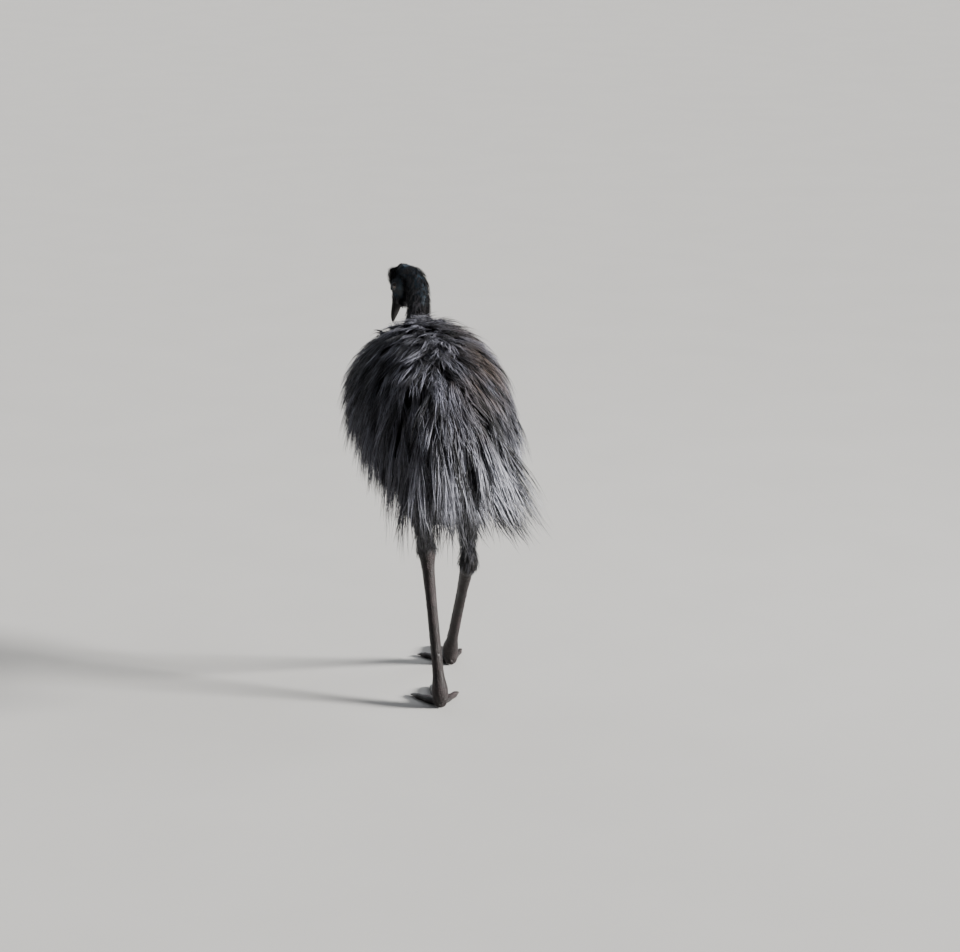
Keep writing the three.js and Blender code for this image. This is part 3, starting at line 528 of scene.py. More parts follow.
# The opening for the eye, the pit of the ear, the corner of the mouth and the folds round them
dx, dz = (local[:, 0] - EYE[0]), (local[:, 2] - EYE[2])
opening = (dx / LID_HALF[0]) ** 2 + (dz / LID_HALF[1]) ** 2
ball_depth = EYE[1] + np.sqrt(np.maximum(EYE_RADIUS**2 - dx**2 - dz**2, 0))
ring = np.sqrt(opening)
folds = 0.0005 * np.sin(ring * 17.0) * np.exp(-((ring - 1.5) / 0.45) ** 2)
depth = np.where(near_head & (depth > 0.01), depth + folds, depth)
depth = np.where(near_head & (opening < 1) & (depth > 0.012), np.minimum(depth, ball_depth - 0.0016), depth)
ear = np.hypot((local[:, 0] - EAR[0]) / 0.0050, (local[:, 2] - EAR[2]) / 0.0062)
depth -= np.where(near_head & (depth > 0.012), 0.0065 * (1 - rise(ear, 0.25, 1.0)), 0)
corner = np.where(local[:, 0] > 0.072, 1 - rise(np.abs(local[:, 2] - MOUTH_Z), 0.0, 0.0022), 0)
depth -= np.where(near_head & (depth > 0.008), 0.0022 * corner * rise(local[:, 0], 0.072, 0.082), 0)
local[:, 1] = side * depth
points = np.where(near_head[:, None], in_head(local), points)

# How far each point of the skin belongs to the bare blue neck and face, and to the scaly legs
far_from_neck = np.linalg.norm(points[:, None] - neck_curve[None, ::8], axis=2)
neck_share = far_from_neck.argmin(1) * 8 / CURVE_LAST
near_neck = far_from_neck.min(1) < 0.075
bare = np.where(near_neck, rise(neck_share, 0.66, 0.86), 0)
bare = np.maximum(bare, np.where(near_head, rise(local[:, 0], -0.02, 0.01), 0))
bare *= np.where(near_head, 1 - 0.85 * rise(local[:, 0], 0.082, 0.100), 1)
scaly = np.zeros(len(points))
for leg in LEGS.values():
    gap = np.linalg.norm(points[:, None] - leg["curve"][None, ::3], axis=2)
    share = gap.argmin(1) * 3 / CURVE_LAST
    down = (share - leg["hock_share"]) * leg["length"]
    close = gap.min(1) < 0.05
    mine = close & (points[:, 2] < 0.5)
    scaly = np.where(mine, np.maximum(scaly, rise(down, -0.035, 0.010)), scaly)
scaly = np.where(points[:, 2] < 0.09, 1.0, scaly)
points[:, 2] = np.maximum(points[:, 2], 0.0)
skin_mesh.vertices.foreach_set("co", (points + STANCE).astype(np.float32).ravel())
skin_mesh.polygons.foreach_set("use_smooth", np.ones(len(skin_mesh.polygons), bool))


def point_values(mesh, name, values):
    """Keeps one number for each point of a mesh, for its material to read"""
    layer = mesh.attributes.new(name, "FLOAT", "POINT")
    layer.data.foreach_set("value", np.asarray(values, np.float32).ravel())


point_values(skin_mesh, "bare", bare)
point_values(skin_mesh, "scaly", scaly)
skin_mesh.update()
skin_mesh.name = "skin"
skin = bpy.data.objects.new("skin", skin_mesh)
scene.collection.objects.link(skin)


def colour_ramp(tree, stops, factor, interpolation="LINEAR"):
    """A ramp over the given (place, colour) stops, fed by a factor socket"""
    node = tree.nodes.new("ShaderNodeValToRGB")
    node.color_ramp.interpolation = interpolation
    elements = node.color_ramp.elements
    while len(elements) < len(stops):
        elements.new(0.5)
    for element, (place, colour) in zip(elements, stops):
        element.position = place
        element.color = (*colour, 1)
    tree.links.new(factor, node.inputs["Fac"])
    return node.outputs["Color"]


def math_of(tree, operation, *values, clamp=False):
    node = tree.nodes.new("ShaderNodeMath")
    node.operation = operation
    node.use_clamp = clamp
    for socket, value in zip(node.inputs, values):
        if isinstance(value, (int, float)):
            socket.default_value = value
        else:
            tree.links.new(value, socket)
    return node.outputs[0]


def mix_colour(tree, factor, first, second, blend="MIX"):
    node = tree.nodes.new("ShaderNodeMix")
    node.data_type = "RGBA"
    node.blend_type = blend
    for socket, value in ((node.inputs[0], factor), (node.inputs[6], first), (node.inputs[7], second)):
        if isinstance(value, (int, float)):
            socket.default_value = value
        elif isinstance(value, tuple):
            socket.default_value = (*value, 1)
        else:
            tree.links.new(value, socket)
    return node.outputs[2]


def range_of(tree, value, low, high, to_low=0.0, to_high=1.0):
    node = tree.nodes.new("ShaderNodeMapRange")
    node.interpolation_type = "SMOOTHSTEP"
    tree.links.new(value, node.inputs["Value"])
    for key, number in (("From Min", low), ("From Max", high), ("To Min", to_low), ("To Max", to_high)):
        node.inputs[key].default_value = number
    return node.outputs["Result"]


def bump_from(tree, shader, height, strength, distance):
    """Fine relief from a height socket, in metres"""
    bump = node_in(tree, "ShaderNodeBump", Strength=strength, Distance=distance)
    tree.links.new(height, bump.inputs["Height"])
    tree.links.new(bump.outputs["Normal"], shader.inputs["Normal"])


# The plumage's markings: dark at the root, grey-brown along the feather and black at its end, browner on
# the right of the back, paler over the rump, nearly black on the neck and below. The rump's paleness is
# partly painted light: it is full on the bird's right, where the low sun falls, and weaker on its shaded left
markings = bpy.data.node_groups.new("emu_markings", "ShaderNodeTree")
markings.interface.new_socket("Along", in_out="INPUT", socket_type="NodeSocketFloat")
markings.interface.new_socket("Tone", in_out="INPUT", socket_type="NodeSocketFloat")
markings.interface.new_socket("Color", in_out="OUTPUT", socket_type="NodeSocketColor")
inputs = markings.nodes.new("NodeGroupInput")
outputs = markings.nodes.new("NodeGroupOutput")
place = markings.nodes.new("ShaderNodeTexCoord")
parts = markings.nodes.new("ShaderNodeSeparateXYZ")
markings.links.new(place.outputs["Object"], parts.inputs[0])
feather = colour_ramp(markings, [
    (0.00, (0.0035, 0.0030, 0.0036)),
    (0.34, (0.0115, 0.0105, 0.0125)),
    (0.60, (0.060, 0.061, 0.076)),
    (0.80, (0.056, 0.057, 0.071)),
    (0.97, (0.0060, 0.0055, 0.0062)),
], inputs.outputs["Along"])
patches = texture_in(markings, "ShaderNodeTexNoise", Scale=7.0, Detail=3.0)
patch = range_of(markings, patches.outputs["Fac"], 0.38, 0.66)
right = range_of(markings, parts.outputs["X"], 0.03, -0.13)
upper = range_of(markings, parts.outputs["Z"], 0.74, 0.92)
brown = math_of(markings, "MULTIPLY", math_of(markings, "MULTIPLY", right, upper), patch)
feather = mix_colour(markings, math_of(markings, "MULTIPLY", brown, 0.75), feather, (0.050, 0.033, 0.022))
rump = range_of(markings, parts.outputs["Y"], 0.30, 0.60)
low = range_of(markings, parts.outputs["Z"], 0.86, 0.64)
# Painted light: the right side of the rump gets the full paleness and the left only 0.3 of it, as if sunlit
# on the right
outer = range_of(markings, parts.outputs["X"], 0.05, -0.10, 0.3, 1.0)
pale_rump_and_painted_light = math_of(markings, "MULTIPLY", math_of(markings, "MULTIPLY", rump, low), outer)
pale_rump_and_painted_light = math_of(markings, "MULTIPLY", pale_rump_and_painted_light, inputs.outputs["Along"])
feather = mix_colour(markings, pale_rump_and_painted_light, feather, (0.185, 0.188, 0.212))
fringe = range_of(markings, parts.outputs["Z"], 0.54, 0.61, 0.25, 1.0)
feather = mix_colour(markings, 1.0, feather, fringe, "MULTIPLY")
neck = range_of(markings, parts.outputs["Y"], -0.24, -0.46)
feather = mix_colour(markings, math_of(markings, "MULTIPLY", neck, 0.95), feather, (0.0038, 0.0034, 0.0042))
tone = range_of(markings, inputs.outputs["Tone"], 0.0, 1.0, 0.10, 3.0)
feather = mix_colour(markings, 1.0, feather, tone, "MULTIPLY")
markings.links.new(feather, outputs.inputs["Color"])

skin_look, tree, shader = plain_material("bird_skin")
under = tree.nodes.new("ShaderNodeGroup")
under.node_tree = markings
under.inputs["Along"].default_value = 0.18
under.inputs["Tone"].default_value = 0.35
bare_at = node_in(tree, "ShaderNodeAttribute", attribute_name="bare")
scaly_at = node_in(tree, "ShaderNodeAttribute", attribute_name="scaly")
blotches = texture_in(tree, "ShaderNodeTexNoise", Scale=55.0, Detail=5.0)
blue = colour_ramp(tree, [
    (0.30, (0.0032, 0.0036, 0.0055)),
    (0.50, (0.0050, 0.0105, 0.0170)),
    (0.64, (0.0090, 0.0235, 0.0370)),
    (0.80, (0.0290, 0.0520, 0.0760)),
], blotches.outputs["Fac"])
scales = texture_in(tree, "ShaderNodeTexVoronoi", Scale=175.0, feature="DISTANCE_TO_EDGE")
scale_edge = range_of(tree, scales.outputs["Distance"], 0.0, 0.22)
leg_noise = texture_in(tree, "ShaderNodeTexNoise", Scale=26.0, Detail=5.0)
leg_colour = colour_ramp(tree, [
    (0.30, (0.0050, 0.0032, 0.0033)),
    (0.52, (0.0150, 0.0096, 0.0097)),
    (0.72, (0.0440, 0.0320, 0.0335)),
], leg_noise.outputs["Fac"])
leg_colour = mix_colour(tree, 1.0, leg_colour, range_of(tree, scale_edge, 0, 1, 0.38, 1.1), "MULTIPLY")
colour = mix_colour(tree, bare_at.outputs["Fac"], under.outputs["Color"], blue)
colour = mix_colour(tree, scaly_at.outputs["Fac"], colour, leg_colour)
tree.links.new(colour, shader.inputs["Base Color"])
pores = texture_in(tree, "ShaderNodeTexVoronoi", Scale=420.0)
creases = texture_in(tree, "ShaderNodeTexNoise", Scale=160.0, Detail=4.0)
soft = math_of(tree, "ADD", math_of(tree, "MULTIPLY", pores.outputs["Distance"], 0.4), creases.outputs["Fac"])
hard = math_of(tree, "MULTIPLY", scale_edge, 1.4)
height = tree.nodes.new("ShaderNodeMix")
tree.links.new(scaly_at.outputs["Fac"], height.inputs[0])
tree.links.new(soft, height.inputs[2])
tree.links.new(hard, height.inputs[3])
bump_from(tree, shader, height.outputs[0], 0.6, 0.0014)
tree.links.new(range_of(tree, leg_noise.outputs["Fac"], 0.3, 0.7, 0.42, 0.66), shader.inputs["Roughness"])
shader.inputs["Specular IOR Level"].default_value = 0.3
skin.data.materials.clear()
skin.data.materials.append(skin_look)
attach(skin, "root")
flesh = ["head", "neck_upper", "neck_middle", "neck_lower", "torso", "tail", "wing_left", "wing_right"]
for leg_name in LEGS:
    flesh += [f"shank_{leg_name}", f"tarsus_{leg_name}"] + [f"toe_{toe}_{leg_name}" for toe in TOES]
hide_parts(*flesh)


# Trunk plumage
# An emu's feather has two equal shafts from one root, with long loose barbs that don't hook together, so
# the coat hangs like coarse hair. It parts along the back and falls to both sides and to the rear.
ROOT_DEPTH = 0.010
COAT_HEIGHT = 0.046
PATCH = 0.003


def body_field(points):
    """One on the trunk's skin and more outside it"""
    t = (points[:, 1] - BODY_MIDDLE_Y) / BODY_HALF_LENGTH
    bent = np.clip(t, -1, 1)
    drop = points[:, 2] - (BODY_CENTRE_Z - 0.020 * bent - 0.034 * bent * bent)
    low = np.where(drop > 0, BODY_HALF_HEIGHT, BODY_HALF_HEIGHT * 1.04)
    around = np.hypot((points[:, 0] - BODY_X) / (BODY_HALF_WIDTH * (1 - 0.05 * t)), drop / low)
    return np.sqrt(around ** (1 / 0.56) + np.abs(t) ** 2.5)


def stand_off(points):
    """How far points stand off the trunk, and the way out from there"""
    step = 0.0015
    slope = np.zeros_like(points)
    for axis in range(3):
        shift = np.zeros(3)
        shift[axis] = step
        slope[:, axis] = (body_field(points + shift) - body_field(points - shift)) / (2 * step)
    steep = np.maximum(np.linalg.norm(slope, axis=1), 1e-4)
    return (body_field(points) - 1) / steep, slope / steep[:, None]


def lie_of(y, angle):
    """The way the plumage lies at a station and angle"""
    steep = np.abs(angle)
    hand = np.where(angle < 0, -1.0, 1.0)
    fall = blend_of(0.03, 1.30, rise(steep, 0.22, 1.35))
    rear = rise(y, 0.180, 0.330)
    belly = rise(steep, 1.9, 2.5)
    before = np.minimum(y, BODY_MIDDLE_Y + BODY_HALF_LENGTH - 0.012)
    here = body_point(before, angle)
    back = unit(body_point(before + 0.006, angle) - here)
    down = unit(body_point(before, angle + 0.03 * hand) - here)
    return unit(back * (1 + 1.5 * belly)[:, None] + down * (fall * (1 - belly) * (1 - 0.6 * rear))[:, None])


DRAPE_STEPS = 14


def drape(y, angle, length, tip, lift, swing, bend, hang, drift):
    """Paths of feathers from the trunk: out of the skin, along the lie, then hanging past the flank.
    Swing turns a feather at its root, bend turns it along its length, and drift leans its fall sideways."""
    point = body_point(y, angle)
    out = stand_off(point)[1]
    point = point - out * ROOT_DEPTH
    lie = lie_of(y, angle)
    heading = lie * np.cos(swing)[:, None] + np.cross(out, lie) * np.sin(swing)[:, None]
    paths, outs = [point], [out]
    step = (length / DRAPE_STEPS)[:, None]
    turn = (bend / DRAPE_STEPS)[:, None]
    pull = np.stack([drift, 0 * drift, 0 * drift - 1], 1)
    for i in range(1, DRAPE_STEPS + 1):
        share = i / DRAPE_STEPS
        heading = heading + np.cross(outs[-1], heading) * turn + pull * (0.06 + hang * share)[:, None]
        heading = unit(heading)
        point = paths[-1] + heading * step
        wanted = blend_of(-ROOT_DEPTH, tip, share**0.72) + lift * float(rise(share, 0.05, 0.4))
        off, away = stand_off(point)
        push = np.clip(wanted - off, 0, 1.2 * step[:, 0])
        point = point + away * push[:, None]
        heading = unit(point - paths[-1])
        paths.append(point)
        outs.append(unit(outs[-1] * 0.65 + away * 0.35))
    return np.stack(paths, 1), np.stack(outs, 1)


def feather_mesh(name, paths, outs, places, random, strands, spread, width, shortest, rings, wave=0.004):
    """One mesh of double feathers: strands of flat three-sided section that taper to a point"""
    tufts, steps = paths.shape[:2]
    along = unit(np.gradient(paths, axis=1))
    across = unit(np.cross(along, outs))
    tuft = np.repeat(np.arange(tufts), strands)
    total = len(tuft)
    shaft = np.tile(np.arange(strands) % 2 * 2 - 1, tufts)
    slot = 0.52 * shaft + 0.48 * random.uniform(-1, 1, total)
    reach = 1 - (1 - shortest) * random.random(total) ** 1.5
    inner = np.linspace(0, 1, rings + 1)[None]
    t = inner * reach[:, None]
    at = t * (steps - 1)
    first = np.clip(np.floor(at).astype(int), 0, steps - 2)
    part = (at - first)[..., None]
    owner = tuft[:, None]

    def picked(values):
        return values[owner, first] * (1 - part) + values[owner, first + 1] * part

    centre, sideways, outward = picked(paths), picked(across), unit(picked(outs))
    fan = t**0.75 * (1 - 0.28 * t) * 1.25
    phase = random.uniform(0, 6.28, total)[:, None]
    loose = np.where(random.random(total) < 0.10, 2.4, 1.0)[:, None]
    curl = wave * loose * np.sin(phase + random.uniform(4.0, 9.5, total)[:, None] * t) * t
    lateral = spread[owner] * slot[:, None] * fan + curl
    raised = 0.42 * spread[owner] * random.uniform(-1, 1, total)[:, None] * t * np.minimum(loose, 1.5)
    centre = centre + sideways * lateral[..., None] + outward * raised[..., None]
    thick = width[tuft] * random.uniform(0.75, 1.25, total)
    swell = 0.5 + 0.5 * np.sin(math.pi * np.minimum(inner * 1.05 + 0.12, 1))
    half = thick[:, None] * swell * (1 - 0.45 * inner**3)
    body, tip = centre[:, :-1], centre[:, -1]
    half = half[:, :-1, None]
    way, ridge = sideways[:, :-1], outward[:, :-1]
    section = np.stack([body - way * half, body + way * half, body + ridge * half * 0.55], 2)
    points = np.concatenate([section.reshape(total, -1, 3), tip[:, None]], 1)
    per = 3 * rings + 1
    faces = [(0, 2, 1)]
    for i in range(rings - 1):
        for k in range(3):
            a, b = 3 * i + k, 3 * i + (k + 1) % 3
            faces += [(a, b, b + 3), (a, b + 3, a + 3)]
    last = 3 * (rings - 1)
    faces += [(last + k, last + (k + 1) % 3, 3 * rings) for k in range(3)]
    faces = (np.arange(total)[:, None, None] * per + np.array(faces)[None]).reshape(-1, 3)
    flat = points.reshape(-1, 3)
    sample = faces[: (6 * rings) * 40]
    a, b, c = [flat[sample[:, k]] - flat[0] for k in range(3)]
    if np.einsum("ij,ij->", a, np.cross(b, c)) < 0:
        faces = faces[:, ::-1]
    piece = piece_of(name, flat + STANCE, [faces])
    mesh = piece.data
    share = np.concatenate([np.repeat(t[:, :-1], 3, 1), t[:, -1:]], 1)
    tone = np.clip(random.normal(0.41, 0.25, tufts)[tuft] + random.normal(0, 0.17, total), 0, 1)
    point_values(mesh, "along", share)
    point_values(mesh, "tone", np.repeat(tone[:, None], per, 1))
    u = places[tuft, 0][:, None] + PATCH * (0.5 + 0.4 * slot[:, None]) + 0 * share
    v = places[tuft, 1][:, None] + PATCH * share
    spots = np.stack([u, v], -1).reshape(-1, 2)[faces.ravel()]
    layer = mesh.uv_layers.new(name="OFBake")
    layer.data.foreach_set("uv", spots.astype(np.float32).ravel())
    return piece


def plumage_look(name, roughness, gloss):
    material, tree, shader = plain_material(name)
    along = node_in(tree, "ShaderNodeAttribute", attribute_name="along")
    tone = node_in(tree, "ShaderNodeAttribute", attribute_name="tone")
    marks = tree.nodes.new("ShaderNodeGroup")
    marks.node_tree = markings
    tree.links.new(along.outputs["Fac"], marks.inputs["Along"])
    tree.links.new(tone.outputs["Fac"], marks.inputs["Tone"])
    tree.links.new(marks.outputs["Color"], shader.inputs["Base Color"])
    tree.links.new(range_of(tree, tone.outputs["Fac"], 0, 1, roughness + 0.1, roughness - 0.08),
                   shader.inputs["Roughness"])
    shader.inputs["Specular IOR Level"].default_value = gloss
    shader.inputs["Sheen Weight"].default_value = 0.03
    shader.inputs["Sheen Roughness"].default_value = 0.5
    return material


def on_sheet(across_share, along_share):
    """The places of tufts on a flat sheet, which the strands take as their UV places"""
    return np.stack([0.03 + 0.93 * across_share, 0.03 + 0.93 * along_share], 1)


def dress(piece, look):
    piece.data.materials.append(look)
    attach(piece, "root")


def clumping(y, angle, seed):
    """A slow wave over the coat, so that neighbouring feathers lean the same way"""
    return (np.sin(31 * y + 5.1 * angle + seed) + np.sin(53 * y - 9.3 * angle + 2 * seed)
            + np.sin(17 * y + 14.0 * angle + 3 * seed)) / 3


TUFT_PITCH = 0.0168
TUFT_DENSITY = 0.93
COAT_REACH = math.radians(176)
RIDGE_ROOTS = 150
STRAND_WIDTH = 0.0017
COAT_WAVE = 0.0065
coat_look = plumage_look("body_plumage", 0.52, 0.28)
random = np.random.default_rng(41)
roots_y, roots_angle = [], []
for row, y in enumerate(np.arange(-0.341, 0.378, TUFT_PITCH)):
    _, wide, high, _ = body_section(np.array(y))
    around = math.pi * (wide + high)
    number = max(int(around / TUFT_PITCH * TUFT_DENSITY), 5)
    angle = (np.arange(number) + 0.5 * (row % 2)) / number * 2 - 1
    roots_angle.append(angle * COAT_REACH + random.normal(0, 0.03, number))
    roots_y.append(np.full(number, y) + random.normal(0, 0.005, number))
# More along the ridge of the back, where they part
roots_y.append(random.uniform(-0.34, 0.36, RIDGE_ROOTS))
roots_angle.append(random.normal(0, 0.09, RIDGE_ROOTS))
y, angle = np.concatenate(roots_y), np.concatenate(roots_angle)
steep = np.abs(angle)
rear, chest = rise(y, 0.060, 0.300), rise(-y, 0.180, 0.320)
belly = rise(steep, math.radians(110), math.radians(140))
length = blend_of(blend_of(0.165, 0.225, rear), 0.115, chest) * (1 + 0.24 * random.uniform(-1, 1, len(y)))
length = blend_of(length, 0.095, belly) * (1 + 0.14 * clumping(y, angle, 1.0))
tip = blend_of(COAT_HEIGHT, 0.030, np.maximum(chest, belly)) * random.uniform(0.45, 1.08, len(y))
tip = tip * np.where(angle < 0, 1 + 0.95 * rear * rise(steep, 0.4, 1.1), 1.0)
lift = 0.004 * (random.random(len(y)) < 0.4)
loose_part = 1 - rise(steep, 0.1, 0.5)
swing = 0.24 * clumping(y, angle, 0.0) + (0.15 + 0.16 * loose_part) * random.normal(0, 1, len(y))
bend = 0.55 * clumping(y, angle, 6.0) + 0.45 * random.normal(0, 1, len(y))
drift = np.where(angle < 0, -0.3, 0.0) * rear
hang = blend_of(0.14, np.where(angle < 0, 0.42, 0.28), rear)
paths, outs = drape(y, angle, length, tip, lift, swing, bend, hang, drift)
places = on_sheet((angle + math.pi) / (2 * math.pi), (y + 0.35) / 0.75)
for hand_name, hand in (("left", 1), ("right", -1)):
    for part_name, low_y, high_y in (("fore", -1, -0.09), ("mid", -0.09, 0.12), ("rear", 0.12, 1)):
        mine = (np.sign(angle) == hand) & (y >= low_y) & (y < high_y)
        piece = feather_mesh(
            f"coat_{part_name}_{hand_name}", paths[mine], outs[mine], places[mine], random,
            strands=12, spread=blend_of(0.014, 0.011, chest[mine]), width=np.full(mine.sum(), STRAND_WIDTH),
            shortest=0.5, rings=6, wave=COAT_WAVE)
        dress(piece, coat_look)


# Wings
# The wings are stubs that hide in the coat. Their loose plumes are made like the rest of it, rooted along
# the arm, and hang over the flank a little proud of the feathers behind them.
random = np.random.default_rng(61)
WING_PLUMES = 30
arm_y, arm_angle, _ = np.array(WING_ARM).T
for hand_name, hand in (("left", 1), ("right", -1)):
    share = (np.arange(WING_PLUMES) + random.random(WING_PLUMES)) / WING_PLUMES
    y = np.interp(share * 3, [0, 1, 2, 3], arm_y) + random.normal(0, 0.006, WING_PLUMES)
    turn = np.interp(share * 3, [0, 1, 2, 3], arm_angle) + random.normal(0, 4, WING_PLUMES)
    angle = hand * np.radians(turn)
    length = blend_of(0.105, 0.150, share) * (1 + 0.15 * random.uniform(-1, 1, WING_PLUMES))
    swing = 0.2 * random.normal(0, 1, WING_PLUMES)
    bend = 0.4 * random.normal(0, 1, WING_PLUMES)
    tip = 0.050 * random.uniform(0.8, 1.05, WING_PLUMES)
    paths, outs = drape(y, angle, length, tip, np.full(WING_PLUMES, 0.008), swing, bend,
                        np.full(WING_PLUMES, 0.16), np.zeros(WING_PLUMES))
    places = on_sheet(share, random.random(WING_PLUMES))
    piece = feather_mesh(f"wing_plumes_{hand_name}", paths, outs, places, random, strands=13,
                         spread=np.full(WING_PLUMES, 0.014), width=np.full(WING_PLUMES, 0.0016),
                         shortest=0.5, rings=6, wave=COAT_WAVE)
    dress(piece, coat_look)


# Tail
# The emu's tail is a skirt of long soft plumes that droop off the rump. They spread a little to both sides
# and end in a ragged fringe, paler than the back above it. On the right side the paleness is stronger, which
# is painted light standing for the low sun on that side.
random = np.random.default_rng(97)
TAIL_PITCH = 0.0095
# Station, reach from the ridge in degrees, length and height over the rump of each row
TAIL_ROWS = [
    (0.300, 112, 0.330, 0.044),
    (0.320, 106, 0.318, 0.040),
    (0.340, 100, 0.305, 0.034),
    (0.356, 94, 0.290, 0.029),
    (0.370, 88, 0.270, 0.024),
    (0.380, 84, 0.240, 0.018),
]
tail_y, tail_angle, tail_length, tail_tip = [], [], [], []
for row_y, reach, row_length, row_tip in TAIL_ROWS:
    _, wide, high, _ = body_section(np.array(row_y))
    number = max(int(2 * reach / 360 * math.pi * (wide + high) / TAIL_PITCH), 9)
    even = np.linspace(-1, 1, number)
    even = np.where(even < 0, -np.abs(even) ** 0.85, np.abs(even) ** 1.1)
    tail_angle.append(np.radians(reach) * even + random.normal(0, 0.03, number))
    tail_y.append(row_y + random.normal(0, 0.003, number))
    tail_length.append(np.full(number, row_length))
    tail_tip.append(np.full(number, row_tip))
y, angle = np.concatenate(tail_y), np.concatenate(tail_angle)
length, tip = np.concatenate(tail_length), np.concatenate(tail_tip)
steep = np.abs(angle)
length = length * (1 - 0.3 * rise(steep, math.radians(70), math.radians(130)))
length = length * (1 + 0.14 * random.uniform(-1, 1, len(y)) + 0.08 * clumping(y, angle, 2.0))
hand = np.where(angle < 0, -1, 1)
sideways = rise(steep, math.radians(10), math.radians(70))
flare = -hand * np.where(hand > 0, 0.32, 0.66) * sideways
swing = flare + 0.14 * random.normal(0, 1, len(y)) + 0.12 * clumping(y, angle, 4.0)
bend = 0.5 * clumping(y, angle, 8.0) + 0.4 * random.normal(0, 1, len(y))
drift = np.where(hand < 0, -0.62, 0.0) * sideways
tip = tip * np.where(hand < 0, 1 + 1.15 * sideways, 1.0)
paths, outs = drape(y, angle, length, tip * random.uniform(0.6, 1.1, len(y)),
                    0.004 * (random.random(len(y)) < 0.4), swing, bend, np.where(hand < 0, 0.42, 0.2), drift)
places = on_sheet((angle + math.pi) / (2 * math.pi), (y - 0.29) / 0.10)
for hand_name, side in (("left", 1), ("right", -1)):
    mine = hand == side
    piece = feather_mesh(
        f"tail_plumes_{hand_name}", paths[mine], outs[mine], places[mine], random,
        strands=15, spread=np.full(mine.sum(), 0.015), width=np.full(mine.sum(), STRAND_WIDTH),
        shortest=0.45, rings=6, wave=0.009)
    dress(piece, coat_look)


# Neck plumage
# Short dark feathers cover the neck and point down it. They are long and loose where it leaves the
# breast, and thin out to bristles near the head, where the blue skin shows between them.
random = np.random.default_rng(7)
neck_shares, neck_angles = [], []
share = 0.03
while share < 0.985:
    radius = float(neck_radius(share))
    pitch = blend_of(0.0125, 0.0064, float(rise(share, 0.3, 0.85)))
    number = int(2 * math.pi * radius / pitch)
    neck_angles.append((np.arange(number) + random.random()) / number * 2 * math.pi)
    neck_shares.append(np.full(number, share) + random.normal(0, 0.004, number))
    share += pitch * 1.15 / neck_length
share, angle = np.concatenate(neck_shares), np.concatenate(neck_angles)
upper = rise(share, 0.3, 0.85)
_, across, up = frame_along(neck_curve, share, NECK_UP)
out = across * np.sin(angle)[:, None] + up * np.cos(angle)[:, None]
toward_nape = out @ unit(CAMERA_BACK - 0.05 * CAMERA_RIGHT)
bald = rise(share, 0.78, 0.87) * rise(toward_nape, 0.45, 0.85) * (1 - rise(share, 0.93, 0.98))
keep = random.random(len(share)) > 0.72 * bald
share, angle, upper = share[keep], angle[keep], upper[keep]
base = 1 - rise(share, 0.12, 0.52)
length = blend_of(blend_of(0.110, 0.170, base), 0.034, upper) * (1 + 0.22 * random.uniform(-1, 1, len(share)))
tip = blend_of(blend_of(0.028, 0.044, base), 0.0065, upper) * random.uniform(0.35, 1.1, len(share))
lean = 0.22 * random.normal(0, 1, len(share))
steps = np.linspace(0, 1, 8)
paths, outs = [], []
for t in steps:
    at = np.clip(share - length * t / neck_length, 0.001, 0.999)
    centre, across, up = frame_along(neck_curve, at, NECK_UP)
    turn = angle + lean * t * length / neck_radius(at)
    out = across * np.sin(turn)[:, None] + up * np.cos(turn)[:, None]
    off = neck_radius(at) * 0.97 + blend_of(-0.006, tip, t**0.8)
    point = centre + out * off[:, None]
    point[:, 2] -= length * blend_of(0.2, 0.6, base) * t * t * (0.5 - 0.5 * out[:, 2])
    paths.append(point)
    outs.append(out)
paths, outs = np.stack(paths, 1), np.stack(outs, 1)
places = on_sheet(angle / (2 * math.pi), share)
neck_look = plumage_look("neck_plumage", 0.55, 0.12)
for part_name, low_share, high_share, strands, width in (
    ("lower", 0.0, 0.5, 6, 0.0015),
    ("middle", 0.5, 0.78, 5, 0.0009),
    ("upper", 0.78, 1.1, 3, 0.0006),
):
    mine = (share >= low_share) & (share < high_share)
    piece = feather_mesh(
        f"neck_feathers_{part_name}", paths[mine], outs[mine], places[mine], random, strands=strands,
        spread=blend_of(0.011, 0.004, upper[mine]), width=np.full(mine.sum(), width),
        shortest=0.6, rings=5, wave=0.003)
    dress(piece, neck_look)


